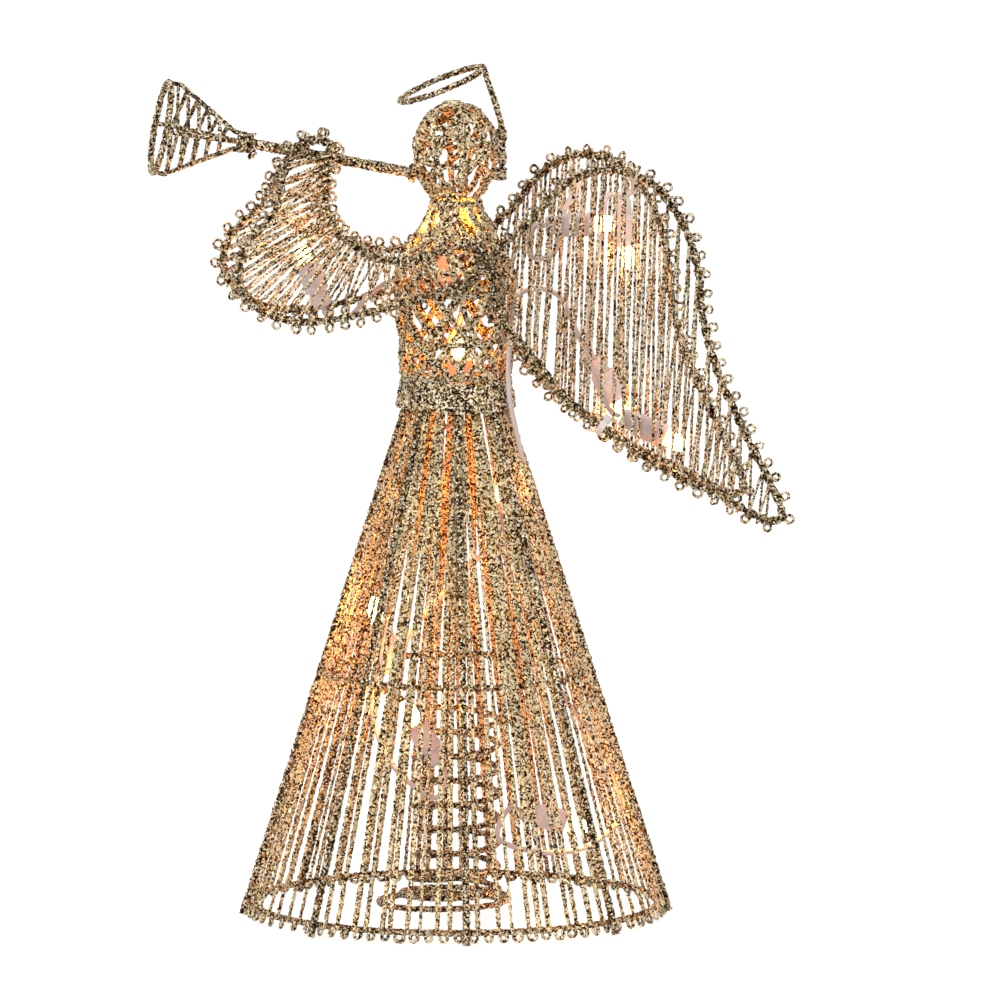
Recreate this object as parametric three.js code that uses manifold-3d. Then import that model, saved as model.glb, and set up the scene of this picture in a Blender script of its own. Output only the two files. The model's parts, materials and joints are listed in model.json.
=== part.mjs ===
import * as THREE from "three";
import { mergeVertices } from "three/addons/utils/BufferGeometryUtils.js";
import Module from "manifold-3d";

const wasm = await Module();
wasm.setup();

// A lit angel for the top of a tree, bent from wire and wound with thread.
// Millimetres, +Z up. It faces -X, its mirror plane is y = 0 and its hem rests on z = 0.
const degree = Math.PI / 180;
const clearance = 0.3;
const overrun = 6;

// Skirt: three hoops, straight ribs outside them and thread run up and down between the ribs.
const hoopWire = 1.3;
const hemHoopRadius = 77;
const hemHoopHeight = 5;
const middleHoopHeight = 94;
const waistHoopRadius = 15.2;
const waistHoopHeight = 198;
const ribRadius = 1.5;
const ribRise = 7.5;
const ribCount = 8;
const firstRibAngle = -95.5 * degree;
const threadRadius = 0.55;
const threadRise = 3;
const threadFoot = 0.6;
const strandCount = 6;
const strandMargin = 8.25 * degree;

// Waist band round the tops of the ribs.
const bandDrop = 2.5;
const bandHeight = 12;
const bandWall = 1.5;
const bandTopBore = 18.9;

// Open spring inside the skirt that grips the tip of the tree.
const springWire = 1.2;
const springRadius = 16;
const springBaseRadius = 28;
const springBaseHeight = 3.8;
const springBaseRise = 6.4;
const springBaseShift = 5;
const springBaseTurns = 2;
const springPitch = 9.4;
const springTurns = 7.4;
const springStartAngle = 20 * degree;
const springArmAngle = 8 * degree;
const springArmLength = 8;

// Bodice and head, each an open net of straps.
const strapWidth = 2.3;
const strapThickness = 2;
const netColumns = 9;
const bodiceHeight = 67;
const bodiceRadius = 22;
const headRadius = 15.4;
const headHalfHeight = 19;
const headLowestRow = -60 * degree;
const headRowStep = 24 * degree;
const headRows = 6;
const netWander = 0.9;
const wanderPhase = 3;

// Halo: a tilted ring of wire on a stem down the back of the head.
const haloRadius = 17;
const haloWire = 1.2;
const haloShift = 5.3;
const haloRise = 7.4;
const haloTilt = 22 * degree;
const stemDrop = 24;

// Trumpet: a tube held in both hands and a four-ribbed bell.
const trumpetLength = 68;
const trumpetRadius = 2.2;
const trumpetPitch = 11 * degree;
const mouthDropShare = 0.383;
const bellLength = 30.4;
const bellRadius = 17.2;
const bellRimWire = 1.4;
const bellRibWire = 1;
const bellThread = 0.7;
const bellTurns = 5;
const bellCollarWall = 1.3;
const bellCollarLength = 5;

// Sleeves: a bent wire outline at each side, wound across with thread.
const frameWire = 1.4;
const windThread = 0.6;
const windClearance = 0.6;
const armReach = 86;
const armHeight = 67;
const handRise = 6.2;
const armSpread = 22;
const leanStartShare = 0.455;
const leanEndShare = 0.873;
const shoulderBlend = 16;
const armLoops = 8;

// Wings: the same build, splayed a little from the mirror plane.
const wingLength = 105;
const wingHeight = 133;
const wingSeatShare = 0.415;
const wingSplay = 12 * degree;
const wingSeatAngle = -60 * degree;
const wingLoops = 11;
const wingLoopStart = 5;
const wingLoopEnd = 97;
const wingLean = 2;

// Lamps: a stepped holder and a bulb that pushes into it.
const holderLength = 18;
const holderRadius = 4.6;
const holderTailRadius = 3.5;
const holderTailLength = 6;
const socketRadius = 2.3;
const socketDepth = 7;
const glassRadius = 2.9;
const glassLength = 9;
const glassShoulder = 6;
const glassTipRadius = 1.6;
const leadRadius = 1;
const leadStub = 4;
const hoopLampRise = 2.585;

// Winding and wire sections.
const roundSides = 8;
const wireSides = 6;
const threadSides = 5;
const hoopSteps = 40;
const hoopStepsMiddle = 32;
const hoopStepsWaist = 24;
const haloSteps = 24;
const rimSteps = 16;
const armSteps = 46;
const wingSteps = 36;
const turnSteps = 4;
const hemLoopSteps = 5;
const springSteps = 8;
const gapSample = 1;
const gapApart = 6;
const halvings = 30;
const leastGapAllowed = 0.4;

const at = (x, y, z) => new THREE.Vector3(x, y, z);
const polar = (radius, angle, z) => at(radius * Math.cos(angle), radius * Math.sin(angle), z);
const mix = (a, b, share) => a + (b - a) * share;
const smooth = (value, from, to) => {
  const share = Math.min(Math.max((value - from) / (to - from), 0), 1);
  return share * share * (3 - 2 * share);
};

const goldPaint = { color: 0xb39860, roughness: 0.55, metalness: 0.6 };
const glowPaint = { color: 0xd09a4c, roughness: 0.55, metalness: 0.5 };
const holderPaint = { color: 0xf1ece6, roughness: 0.5, metalness: 0 };
const leadPaint = { color: 0xefe9e2, roughness: 0.45, metalness: 0 };
const bulbPaint = { color: 0xffe9c4, roughness: 0.1, metalness: 0 };

function piece(name, geometry, paint) {
  const mesh = new THREE.Mesh(geometry, new THREE.MeshStandardMaterial(paint));
  mesh.name = name;
  return mesh;
}

// Solids for joining and cutting.
function toSolid(geometry) {
  const bare = geometry.clone();
  bare.deleteAttribute("normal");
  bare.deleteAttribute("uv");
  const merged = mergeVertices(bare);
  const vertProperties = merged.attributes.position.array;
  const triVerts = new Uint32Array(merged.index.array);
  return new wasm.Manifold(new wasm.Mesh({ numProp: 3, vertProperties, triVerts }));
}

function toGeometry(solid) {
  const mesh = solid.getMesh();
  const geometry = new THREE.BufferGeometry();
  geometry.setAttribute("position", new THREE.BufferAttribute(mesh.vertProperties, 3));
  geometry.setIndex(new THREE.BufferAttribute(mesh.triVerts, 1));
  return geometry;
}

function fromTriangles(vertices, triangles) {
  const positions = new Float32Array(vertices.flatMap((v) => [v.x, v.y, v.z]));
  const geometry = new THREE.BufferGeometry();
  geometry.setAttribute("position", new THREE.BufferAttribute(positions, 3));
  geometry.setIndex(triangles);
  return geometry;
}

// Directions along a list of points, halfway between the runs that meet at each.
function directions(points, closed) {
  const last = points.length - 1;
  return points.map((point, i) => {
    const before = i > 0 ? points[i - 1] : closed ? points[last] : point;
    const after = i < last ? points[i + 1] : closed ? points[0] : point;
    const arriving = point.clone().sub(before).normalize();
    const leaving = after.clone().sub(point).normalize();
    return arriving.add(leaving).normalize();
  });
}

// A round wire through a list of points, with flat ends or closed into a ring.
function wire(points, radius, sides, closed = false) {
  const count = points.length;
  const along = directions(points, closed);
  const first = Math.abs(along[0].z) < 0.9 ? at(0, 0, 1) : at(1, 0, 0);
  const normals = [first.cross(along[0]).normalize()];
  for (let i = 1; i < count; i += 1) {
    const turn = new THREE.Quaternion().setFromUnitVectors(along[i - 1], along[i]);
    normals.push(normals[i - 1].clone().applyQuaternion(turn));
  }
  let twist = 0;
  if (closed) {
    const turn = new THREE.Quaternion().setFromUnitVectors(along[count - 1], along[0]);
    const back = normals[count - 1].clone().applyQuaternion(turn);
    const side = along[0].clone().cross(back);
    twist = Math.atan2(normals[0].dot(side), normals[0].dot(back));
  }
  const vertices = [];
  for (let i = 0; i < count; i += 1) {
    const normal = normals[i].clone().applyAxisAngle(along[i], (twist * i) / count);
    const side = along[i].clone().cross(normal);
    for (let j = 0; j < sides; j += 1) {
      const angle = (2 * Math.PI * j) / sides;
      const spoke = normal.clone().multiplyScalar(Math.cos(angle));
      spoke.addScaledVector(side, Math.sin(angle));
      vertices.push(points[i].clone().addScaledVector(spoke, radius));
    }
  }
  const triangles = [];
  const runs = closed ? count : count - 1;
  for (let i = 0; i < runs; i += 1) {
    const here = i * sides;
    const next = ((i + 1) % count) * sides;
    for (let j = 0; j < sides; j += 1) {
      const k = (j + 1) % sides;
      triangles.push(here + j, here + k, next + k, here + j, next + k, next + j);
    }
  }
  if (!closed) {
    const end = (count - 1) * sides;
    for (let j = 1; j < sides - 1; j += 1) {
      triangles.push(0, j + 1, j, end, end + j, end + j + 1);
    }
  }
  return fromTriangles(vertices, triangles);
}

// The least gap between parts of one wound wire that lie apart along it.
function leastGap(points, radius) {
  const samples = [];
  let travelled = 0;
  for (let i = 1; i < points.length; i += 1) {
    const run = points[i].distanceTo(points[i - 1]);
    const parts = Math.max(Math.ceil(run / gapSample), 1);
    for (let k = 0; k < parts; k += 1) {
      const share = k / parts;
      samples.push([travelled + run * share, points[i - 1].clone().lerp(points[i], share)]);
    }
    travelled += run;
  }
  let least = Infinity;
  for (let i = 0; i < samples.length; i += 1) {
    for (let k = i + 1; k < samples.length; k += 1) {
      if (samples[k][0] - samples[i][0] < gapApart * radius) continue;
      least = Math.min(least, samples[k][1].distanceTo(samples[i][1]));
    }
  }
  return least - 2 * radius;
}

function wound(name, points, radius, paint) {
  const gap = leastGap(points, radius);
  const verdict = gap > leastGapAllowed ? "clear" : "too close";
  console.log(name, "least gap to itself", gap.toFixed(2), "mm,", verdict);
  return piece(name, wire(points, radius, threadSides), paint);
}

// A profile of radii and heights turned about Z.
function turned(profile, sides) {
  const outline = profile.map(([radius, height]) => new THREE.Vector2(radius, height));
  return new THREE.LatheGeometry(outline, sides).rotateX(Math.PI / 2);
}

// An open net: each cell keeps a strap along its edges and a hole in its middle.
function net(nodes, cells, width, thickness) {
  const half = thickness / 2;
  const vertices = [];
  const triangles = [];
  for (const node of nodes) {
    vertices.push(node.point.clone().addScaledVector(node.out, half));
    vertices.push(node.point.clone().addScaledVector(node.out, -half));
  }
  const edges = new Set();
  for (const cell of cells) {
    cell.forEach((a, k) => edges.add(a + ">" + cell[(k + 1) % cell.length]));
  }
  for (const cell of cells) {
    const corners = cell.map((index) => nodes[index]);
    const middle = corners.reduce((sum, c) => sum.add(c.point), at(0, 0, 0));
    middle.divideScalar(corners.length);
    const out = corners.reduce((sum, c) => sum.add(c.out), at(0, 0, 0)).normalize();
    const reaches = corners.map((corner, k) => {
      const next = corners[(k + 1) % corners.length];
      const line = new THREE.Line3(corner.point, next.point);
      return line.closestPointToPoint(middle, false, at(0, 0, 0)).distanceTo(middle);
    });
    const open = 1 - width / 2 / Math.min(...reaches);
    const base = vertices.length;
    for (const corner of corners) {
      const rim = middle.clone().lerp(corner.point, open);
      const away = out.clone().lerp(corner.out, open).normalize();
      vertices.push(rim.clone().addScaledVector(away, half));
      vertices.push(rim.clone().addScaledVector(away, -half));
    }
    cell.forEach((index, k) => {
      const other = (k + 1) % cell.length;
      const [a, b] = [2 * index, 2 * cell[other]];
      const [c, d] = [base + 2 * k, base + 2 * other];
      triangles.push(a, b, d, a, d, c);
      triangles.push(a + 1, d + 1, b + 1, a + 1, c + 1, d + 1);
      triangles.push(c, d, d + 1, c, d + 1, c + 1);
      if (edges.has(cell[other] + ">" + index)) return;
      triangles.push(b, a, a + 1, b, a + 1, b + 1);
    });
  }
  return fromTriangles(vertices, triangles);
}

// Rows of nodes, each row turned half a cell from the one below, joined as diamonds.
function diamondNet(rows, crown) {
  const nodes = [];
  rows.forEach(({ radius, z, lift, wander }, row) => {
    for (let i = 0; i < netColumns; i += 1) {
      const seed = row * netColumns + i;
      const drift = wander * Math.sin(seed * seed);
      const step = (2 * Math.PI) / netColumns;
      const angle = (i + (row % 2) / 2) * step + Math.PI + drift / bodiceRadius;
      const height = z + (lift === undefined ? wander * Math.cos(wanderPhase * seed) : 0);
      const out = polar(Math.cos(lift ?? 0), angle, Math.sin(lift ?? 0));
      nodes.push({ point: polar(radius, angle, height), out });
    }
  });
  const index = (row, i) => row * netColumns + ((i + netColumns) % netColumns);
  const cells = [];
  for (let row = 0; row < rows.length; row += 1) {
    for (let i = 0; i < netColumns; i += 1) {
      const shift = row % 2;
      const left = index(row, i);
      const right = index(row, i + 1);
      const cell = [left];
      if (row > 0) cell.push(index(row - 1, i + shift));
      cell.push(right);
      if (row < rows.length - 1) cell.push(index(row + 1, i + shift));
      cells.push(cell);
    }
  }
  if (crown) {
    nodes.push({ point: at(0, 0, crown), out: at(0, 0, 1) });
    const top = rows.length - 1;
    for (let i = 0; i < netColumns; i += 1) {
      cells[top * netColumns + i].length = 3;
      cells.push([index(top, i), index(top, i + 1), nodes.length - 1]);
    }
  }
  return net(nodes, cells, strapWidth, strapThickness);
}

const figure = new THREE.Group();

// The cone that the middles of the hoops lie on, and distances square out from it.
const coneSlope = (waistHoopRadius - hemHoopRadius) / (waistHoopHeight - hemHoopHeight);
const coneStretch = Math.hypot(1, coneSlope);
const hoopRadiusAt = (z) => hemHoopRadius + coneSlope * (z - hemHoopHeight);
const outsideHoops = (z, distance) => hoopRadiusAt(z) + distance * coneStretch;
const ribTop = waistHoopHeight + ribRise;
const threadTop = waistHoopHeight + threadRise;
const ribOffset = hoopWire + clearance + ribRadius;
const threadOffset = hoopWire + clearance + threadRadius;

function hoop(name, z, steps) {
  const ring = new THREE.TorusGeometry(hoopRadiusAt(z), hoopWire, wireSides, steps);
  const mesh = piece(name, ring, goldPaint);
  mesh.position.z = z;
  return mesh;
}

const skirt = new THREE.Group();
skirt.add(hoop("hem_hoop", hemHoopHeight, hoopSteps));
skirt.add(hoop("middle_hoop", middleHoopHeight, hoopStepsMiddle));
skirt.add(hoop("waist_hoop", waistHoopHeight, hoopStepsWaist));

// Ribs: their feet are cut level and carry the figure.
const groundSide = 4 * hemHoopRadius;
const ground = new THREE.BoxGeometry(groundSide, groundSide, 2 * overrun);
ground.translate(0, 0, -overrun);
const groundSolid = toSolid(ground);
for (let k = 0; k < ribCount; k += 1) {
  const angle = firstRibAngle + (k * 2 * Math.PI) / ribCount;
  const foot = polar(outsideHoops(-overrun / 2, ribOffset), angle, -overrun / 2);
  const head = polar(outsideHoops(ribTop, ribOffset), angle, ribTop);
  const rod = toSolid(wire([foot, head], ribRadius, roundSides)).subtract(groundSolid);
  skirt.add(piece("skirt_rib_" + (k + 1), toGeometry(rod), goldPaint));
}

// Thread between each two ribs: down, round a loop at the hem, up, and over at the waist.
const sectorAngle = (2 * Math.PI) / ribCount;
const strandStep = (sectorAngle - 2 * strandMargin) / (strandCount - 1);
const onSkirt = (angle, z) => polar(outsideHoops(z, threadOffset), angle, z);
for (let k = 0; k < ribCount; k += 1) {
  const start = firstRibAngle + k * sectorAngle + strandMargin;
  const hemHalf = (outsideHoops(0, threadOffset) * strandStep) / 2;
  const waistHalf = (outsideHoops(threadTop, threadOffset) * strandStep) / 2;
  const hemCentre = threadFoot + threadRadius + hemHalf;
  const points = [onSkirt(start, threadTop)];
  for (let strand = 0; strand < strandCount - 1; strand += 1) {
    const down = strand % 2 === 0;
    const middle = start + (strand + 0.5) * strandStep;
    const steps = down ? hemLoopSteps : turnSteps;
    for (let i = 0; i <= steps; i += 1) {
      const turn = (Math.PI * i) / steps;
      const angle = middle - (Math.cos(turn) * strandStep) / 2;
      const hemTurn = hemCentre - Math.sin(turn) * hemHalf;
      const waistTurn = threadTop - (1 - Math.sin(turn)) * waistHalf;
      points.push(onSkirt(angle, down ? hemTurn : waistTurn));
    }
  }
  points.push(onSkirt(start + (strandCount - 1) * strandStep, threadTop));
  skirt.add(wound("skirt_thread_" + (k + 1), points, threadRadius, glowPaint));
}

// Waist band, clear of the ribs where it is lowest.
const bandBottom = waistHoopHeight - bandDrop;
const bandTop = bandBottom + bandHeight;
const bandFacet = Math.cos(Math.PI / hoopStepsWaist);
const bandBore = outsideHoops(bandBottom, ribOffset + ribRadius + clearance) / bandFacet;
const bandOuter = bandBore + bandWall;
const bandProfile = [
  [bandBore, bandBottom],
  [bandOuter, bandBottom],
  [bandOuter, bandTop],
  [bandTopBore, bandTop],
  [bandBore, bandBottom],
];
skirt.add(piece("waist_band", turned(bandProfile, hoopStepsWaist), goldPaint));
figure.add(skirt);

// Tree spring: two wide loops at the foot, then an even coil, then an arm out under the middle hoop.
const springPoints = [];
const springEndTurn = springBaseTurns + springTurns;
for (let i = 0; i <= Math.round(springEndTurn * springSteps); i += 1) {
  const turn = i / springSteps;
  const base = Math.min(turn / springBaseTurns, 1);
  const climbed = Math.max(turn - springBaseTurns, 0) * springPitch;
  const z = springBaseHeight + springBaseRise * base + climbed;
  const radius = mix(springBaseRadius, springRadius, base);
  const point = polar(radius, springStartAngle + turn * 2 * Math.PI, z);
  springPoints.push(point.setX(point.x - springBaseShift * (1 - base)));
}
const springEnd = springPoints[springPoints.length - 1];
const springEndAngle = Math.atan2(springEnd.y, springEnd.x) + springArmAngle;
const springArmHeight = middleHoopHeight - hoopWire - clearance - springWire;
const hoopReach = hoopRadiusAt(middleHoopHeight);
const armLift = mix(springEnd.z, springArmHeight, 1 / 2);
const armStart = springEndAngle + springArmAngle;
const armEnd = armStart + 2 * springArmAngle;
springPoints.push(polar(mix(springRadius, hoopReach, 1 / 4), armStart, armLift));
springPoints.push(polar(hoopReach - springArmLength, armEnd, springArmHeight));
springPoints.push(polar(hoopReach, armEnd, springArmHeight));
figure.add(wound("tree_spring", springPoints, springWire, goldPaint));

// Bodice: rows of the net from the band up to the neck, as shares of its height and radius.
const bodiceBottom = bandTop + clearance;
const bodiceShares = [
  [0, 0.9],
  [0.21, 0.94],
  [0.42, 1],
  [0.58, 1],
  [0.73, 0.79],
  [0.87, 0.51],
  [1, 0.36],
];
const bodiceRows = bodiceShares.map(([rise, girth], row) => {
  const edge = row === 0 || row === bodiceShares.length - 1;
  const wander = edge ? 0 : netWander;
  return { radius: girth * bodiceRadius, z: bodiceBottom + rise * bodiceHeight, wander };
});
const bodiceRadiusAt = (z) => {
  const share = Math.min(Math.max((z - bodiceBottom) / bodiceHeight, 0), 1);
  const above = Math.max(bodiceShares.findIndex(([rise]) => rise >= share), 1);
  const [low, lowGirth] = bodiceShares[above - 1];
  const [high, highGirth] = bodiceShares[above];
  return bodiceRadius * mix(lowGirth, highGirth, (share - low) / (high - low));
};
figure.add(piece("bodice_net", diamondNet(bodiceRows, 0), glowPaint));

// Head: rows of the net by latitude, closed at the crown and open at the neck.
const bodiceTop = bodiceBottom + bodiceHeight;
const headTilt = (row) => {
  const latitude = headLowestRow + row * headRowStep;
  return Math.atan2(Math.sin(latitude) / headHalfHeight, Math.cos(latitude) / headRadius);
};
const headLowestRise = headHalfHeight * Math.sin(headLowestRow);
const headLowestEdge = headLowestRise + (Math.sin(headTilt(0)) * strapThickness) / 2;
const headCentre = bodiceTop + clearance - headLowestEdge;
const headNetRows = Array.from({ length: headRows }, (_, row) => {
  const latitude = headLowestRow + row * headRowStep;
  const radius = headRadius * Math.cos(latitude);
  const z = headCentre + headHalfHeight * Math.sin(latitude);
  return { radius, z, lift: headTilt(row), wander: row === 0 ? 0 : netWander };
});
figure.add(piece("head_net", diamondNet(headNetRows, headCentre + headHalfHeight), glowPaint));

// Halo ring, tilted with its back high, and the stem that runs down behind the head.
const haloHeight = headCentre + headHalfHeight + haloRise;
const haloPoints = [];
for (let i = 0; i < haloSteps; i += 1) {
  const angle = (2 * Math.PI * i) / haloSteps;
  const forward = haloRadius * Math.cos(angle);
  const x = forward * Math.cos(haloTilt) - haloShift;
  haloPoints.push(at(x, haloRadius * Math.sin(angle), haloHeight + forward * Math.sin(haloTilt)));
}
const stemX = headRadius + strapThickness / 2 + clearance + haloWire;
const haloBack = haloPoints[0];
const stemPoints = [
  haloBack,
  at(mix(haloBack.x, stemX, 3 / 4), 0, mix(haloBack.z, headCentre, 1 / 2)),
  at(stemX, 0, mix(haloBack.z, headCentre, 3 / 4)),
  at(stemX, 0, headCentre),
  at(stemX, 0, haloBack.z - stemDrop - headHalfHeight),
];
const haloRing = toSolid(wire(haloPoints, haloWire, wireSides, true));
const haloStem = toSolid(wire(stemPoints, haloWire, wireSides));
figure.add(piece("halo", toGeometry(haloRing.add(haloStem)), goldPaint));

// Trumpet, drawn along its own axis from the mouth and then tilted up.
const trumpet = new THREE.Group();
const mouthHeight = headCentre - mouthDropShare * headHalfHeight;
const mouthDrop = (mouthHeight + trumpetRadius - headCentre) / headHalfHeight;
const mouthGirth = Math.sqrt(Math.max(1 - mouthDrop * mouthDrop, 0));
const headFront = (headRadius + strapThickness / 2) * mouthGirth;
trumpet.position.set(-headFront - clearance, 0, mouthHeight);
trumpet.rotation.y = -Math.PI / 2 + trumpetPitch;
const tubeEnds = [at(0, 0, 0), at(0, 0, trumpetLength)];
trumpet.add(piece("trumpet_tube", wire(tubeEnds, trumpetRadius, roundSides), goldPaint));
const collarBore = (trumpetRadius + clearance) / Math.cos(Math.PI / roundSides);
const collarOuter = collarBore + bellCollarWall;
const collarProfile = [
  [collarBore, 0],
  [collarOuter, 0],
  [collarOuter, bellCollarLength],
  [collarBore, bellCollarLength],
  [collarBore, 0],
];
let bell = toSolid(turned(collarProfile, roundSides));
const bellSpan = bellCollarLength + bellLength;
const bellStart = collarOuter - bellRibWire / 2;
const bellRadiusAt = (share) => mix(bellStart, bellRadius, share);
const bellHeightAt = (share) => mix(bellCollarLength / 2, bellSpan, share);
for (let k = 0; k < 4; k += 1) {
  const angle = (k * Math.PI) / 2;
  const rib = [polar(bellRadiusAt(0), angle, bellHeightAt(0)), polar(bellRadius, angle, bellSpan)];
  bell = bell.add(toSolid(wire(rib, bellRibWire, threadSides)));
}
const rim = new THREE.TorusGeometry(bellRadius, bellRimWire, threadSides, rimSteps);
bell = bell.add(toSolid(rim.translate(0, 0, bellSpan)));
const bellWinding = [];
for (let i = 0; i <= bellTurns * 4; i += 1) {
  const share = mix(1 / 6, 1, i / (bellTurns * 4));
  bellWinding.push(polar(bellRadiusAt(share), (i * Math.PI) / 2, bellHeightAt(share)));
}
bell = bell.add(toSolid(wire(bellWinding, bellThread, turnSteps)));
const bellPiece = piece("trumpet_bell", toGeometry(bell), goldPaint);
bellPiece.position.z = trumpetLength - bellCollarLength;
trumpet.add(bellPiece);
figure.add(trumpet);

// Thread wound round two edges of a wire outline, over its face and back under it.
const windRadius = frameWire + windClearance + windThread;
function winding(outline, pairs, face) {
  const points = [];
  const count = outline.points.length;
  const edgePoint = (index) => outline.getPoint(index / count);
  const wrap = (index, other, fromFront) => {
    const centre = edgePoint(index);
    const along = outline.getTangent(index / count);
    const out = face.clone().addScaledVector(along, -face.dot(along)).normalize();
    const away = along.clone().cross(out).normalize();
    if (away.dot(edgePoint(other).sub(centre)) > 0) away.negate();
    for (let i = 0; i <= turnSteps; i += 1) {
      const turn = (Math.PI * i) / turnSteps;
      const across = (fromFront ? 1 : -1) * Math.cos(turn) * windRadius;
      const round = Math.sin(turn) * windRadius;
      points.push(centre.clone().addScaledVector(out, across).addScaledVector(away, round));
    }
  };
  for (const [upper, lower] of pairs) {
    wrap(upper, lower, false);
    wrap(lower, upper, true);
  }
  return points;
}

// Sleeve outline, as shares of the reach forward and the height, from the shoulder along the inner
// edge to the hand, and back along the outer edge round the elbow.
const armShares = [
  [-0.047, 0.418],
  [0.14, 0.358],
  [0.272, 0.33],
  [0.415, 0.366],
  [0.524, 0.464],
  [0.602, 0.582],
  [0.595, 0.739],
  [0.569, 0.888],
  [0.553, 0.964],
  [0.616, 0.999],
  [0.695, 0.96],
  [0.763, 0.848],
  [0.83, 0.621],
  [0.967, 0.431],
  [1, 0.246],
  [0.915, 0.085],
  [0.747, 0.001],
  [0.578, 0.01],
  [0.338, 0.073],
  [0.163, 0.134],
  [0.035, 0.194],
  [-0.052, 0.254],
  [-0.093, 0.336],
];
const handShare = 0.616;
const handReach = handShare * armReach - headFront - clearance;
const trumpetAtHands = mouthHeight + handReach * Math.tan(trumpetPitch);
const elbowHeight = trumpetAtHands + handRise - armHeight;
const handSpread = trumpetRadius + clearance + frameWire;
const drape = frameWire + 2 * netWander;
const bodiceGirthAt = (z) => Math.max(bodiceRadiusAt(z - drape), bodiceRadiusAt(z + drape));
const seatReach = strapThickness / 2 + clearance + frameWire;
const bodiceReachAt = (z) => bodiceGirthAt(z) + seatReach;
const armSide = (x, z) => {
  const rise = (z - elbowHeight) / armHeight;
  const sleeve = mix(armSpread, handSpread, smooth(rise, leanStartShare, leanEndShare));
  const reach = bodiceReachAt(z);
  const beside = Math.sqrt(Math.max(reach * reach - x * x, 0));
  const front = -bodiceRadius - frameWire;
  return mix(sleeve, beside, smooth(x, front, front + shoulderBlend));
};
const armPoints = armShares.map(([forward, rise]) => {
  const x = -forward * armReach;
  const z = elbowHeight + rise * armHeight;
  return at(x, -armSide(x, z), z);
});
const armOutline = new THREE.CatmullRomCurve3(armPoints, true, "centripetal");
const armRing = armOutline.getPoints(armSteps).slice(0, -1);
const armFrame = wire(armRing, frameWire, wireSides, true);
const armInner = [6.2, 2.3];
const armOuter = [11.5, 18];
const armPairs = Array.from({ length: armLoops + 1 }, (_, i) => {
  const share = i / armLoops;
  return [mix(armInner[0], armInner[1], share), mix(armOuter[0], armOuter[1], share)];
});
const armWinding = winding(armOutline, armPairs, at(0, -1, 0));

// Wing outline, as shares of its length and height, from the root over the top to the tip and back
// along the lower edge.
const wingShares = [
  [-0.034, 0.763],
  [0.091, 0.851],
  [0.201, 0.95],
  [0.347, 1],
  [0.5, 0.976],
  [0.62, 0.877],
  [0.69, 0.735],
  [0.712, 0.58],
  [0.77, 0.415],
  [0.866, 0.25],
  [0.998, 0.011],
  [0.955, 0],
  [0.768, 0.074],
  [0.567, 0.151],
  [0.391, 0.244],
  [0.246, 0.328],
  [0.121, 0.441],
  [-0.029, 0.606],
];
const wingRootShare = 0.034;
const wingRootLowShare = 0.606;
const wingSeatHeight = bodiceBottom + wingSeatShare * bodiceHeight;
const wingTipHeight = wingSeatHeight - wingRootLowShare * wingHeight;
const onWing = (length, height, inward = 0) => {
  return at(length * wingLength, inward, wingTipHeight + height * wingHeight);
};
const wingPoints = wingShares.map(([length, height]) => onWing(length, height));
const wingOutline = new THREE.CatmullRomCurve3(wingPoints, true, "centripetal");
const wingRing = wingOutline.getPoints(wingSteps).slice(0, -1);
const wingFrame = wire(wingRing, frameWire, wireSides, true);
const wingTip = 10;
const crossing = (x, from, to) => {
  let [low, high] = [from, to];
  for (let i = 0; i < halvings; i += 1) {
    const half = (low + high) / 2;
    if (wingOutline.getPoint(half / wingPoints.length).x < x) low = half;
    else high = half;
  }
  return (low + high) / 2;
};
const wingPairs = Array.from({ length: wingLoops + 1 }, (_, i) => {
  const x = mix(wingLoopStart, wingLoopEnd, i / wingLoops);
  const lower = crossing(x - wingLean, wingPoints.length - 1, wingTip + 1);
  return [crossing(x, 0, wingTip), lower];
});
const wingWinding = winding(wingOutline, wingPairs, at(0, 1, 0));

// Lamps: the holder's mouth looks along its own +Z, and the bulb's base sits in its socket.
const holderProfile = [
  [0, 0],
  [holderTailRadius, 0],
  [holderTailRadius, holderTailLength],
  [holderRadius, holderTailLength],
  [holderRadius, holderLength],
  [socketRadius, holderLength],
  [socketRadius, holderLength - socketDepth],
  [0, holderLength - socketDepth],
];
const bulbSeat = holderLength + clearance;
const bulbProfile = [
  [0, holderLength - socketDepth + clearance],
  [socketRadius - clearance, holderLength - socketDepth + clearance],
  [socketRadius - clearance, bulbSeat],
  [glassRadius, bulbSeat],
  [glassRadius, bulbSeat + glassShoulder],
  [glassTipRadius, bulbSeat + glassLength],
  [0, bulbSeat + glassLength],
];
function lamp(name, back, aim) {
  const group = new THREE.Group();
  group.position.copy(back);
  group.quaternion.setFromUnitVectors(at(0, 0, 1), aim.clone().normalize());
  group.add(piece("lamp_holder_" + name, turned(holderProfile, roundSides), holderPaint));
  group.add(piece("bulb_" + name, turned(bulbProfile, roundSides), bulbPaint));
  return group;
}

// Where a lead meets a lamp: dead into the back of its holder, or across behind it.
function leadEnd(group, distance) {
  figure.updateMatrixWorld(true);
  return group.localToWorld(at(0, 0, -distance));
}

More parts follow.
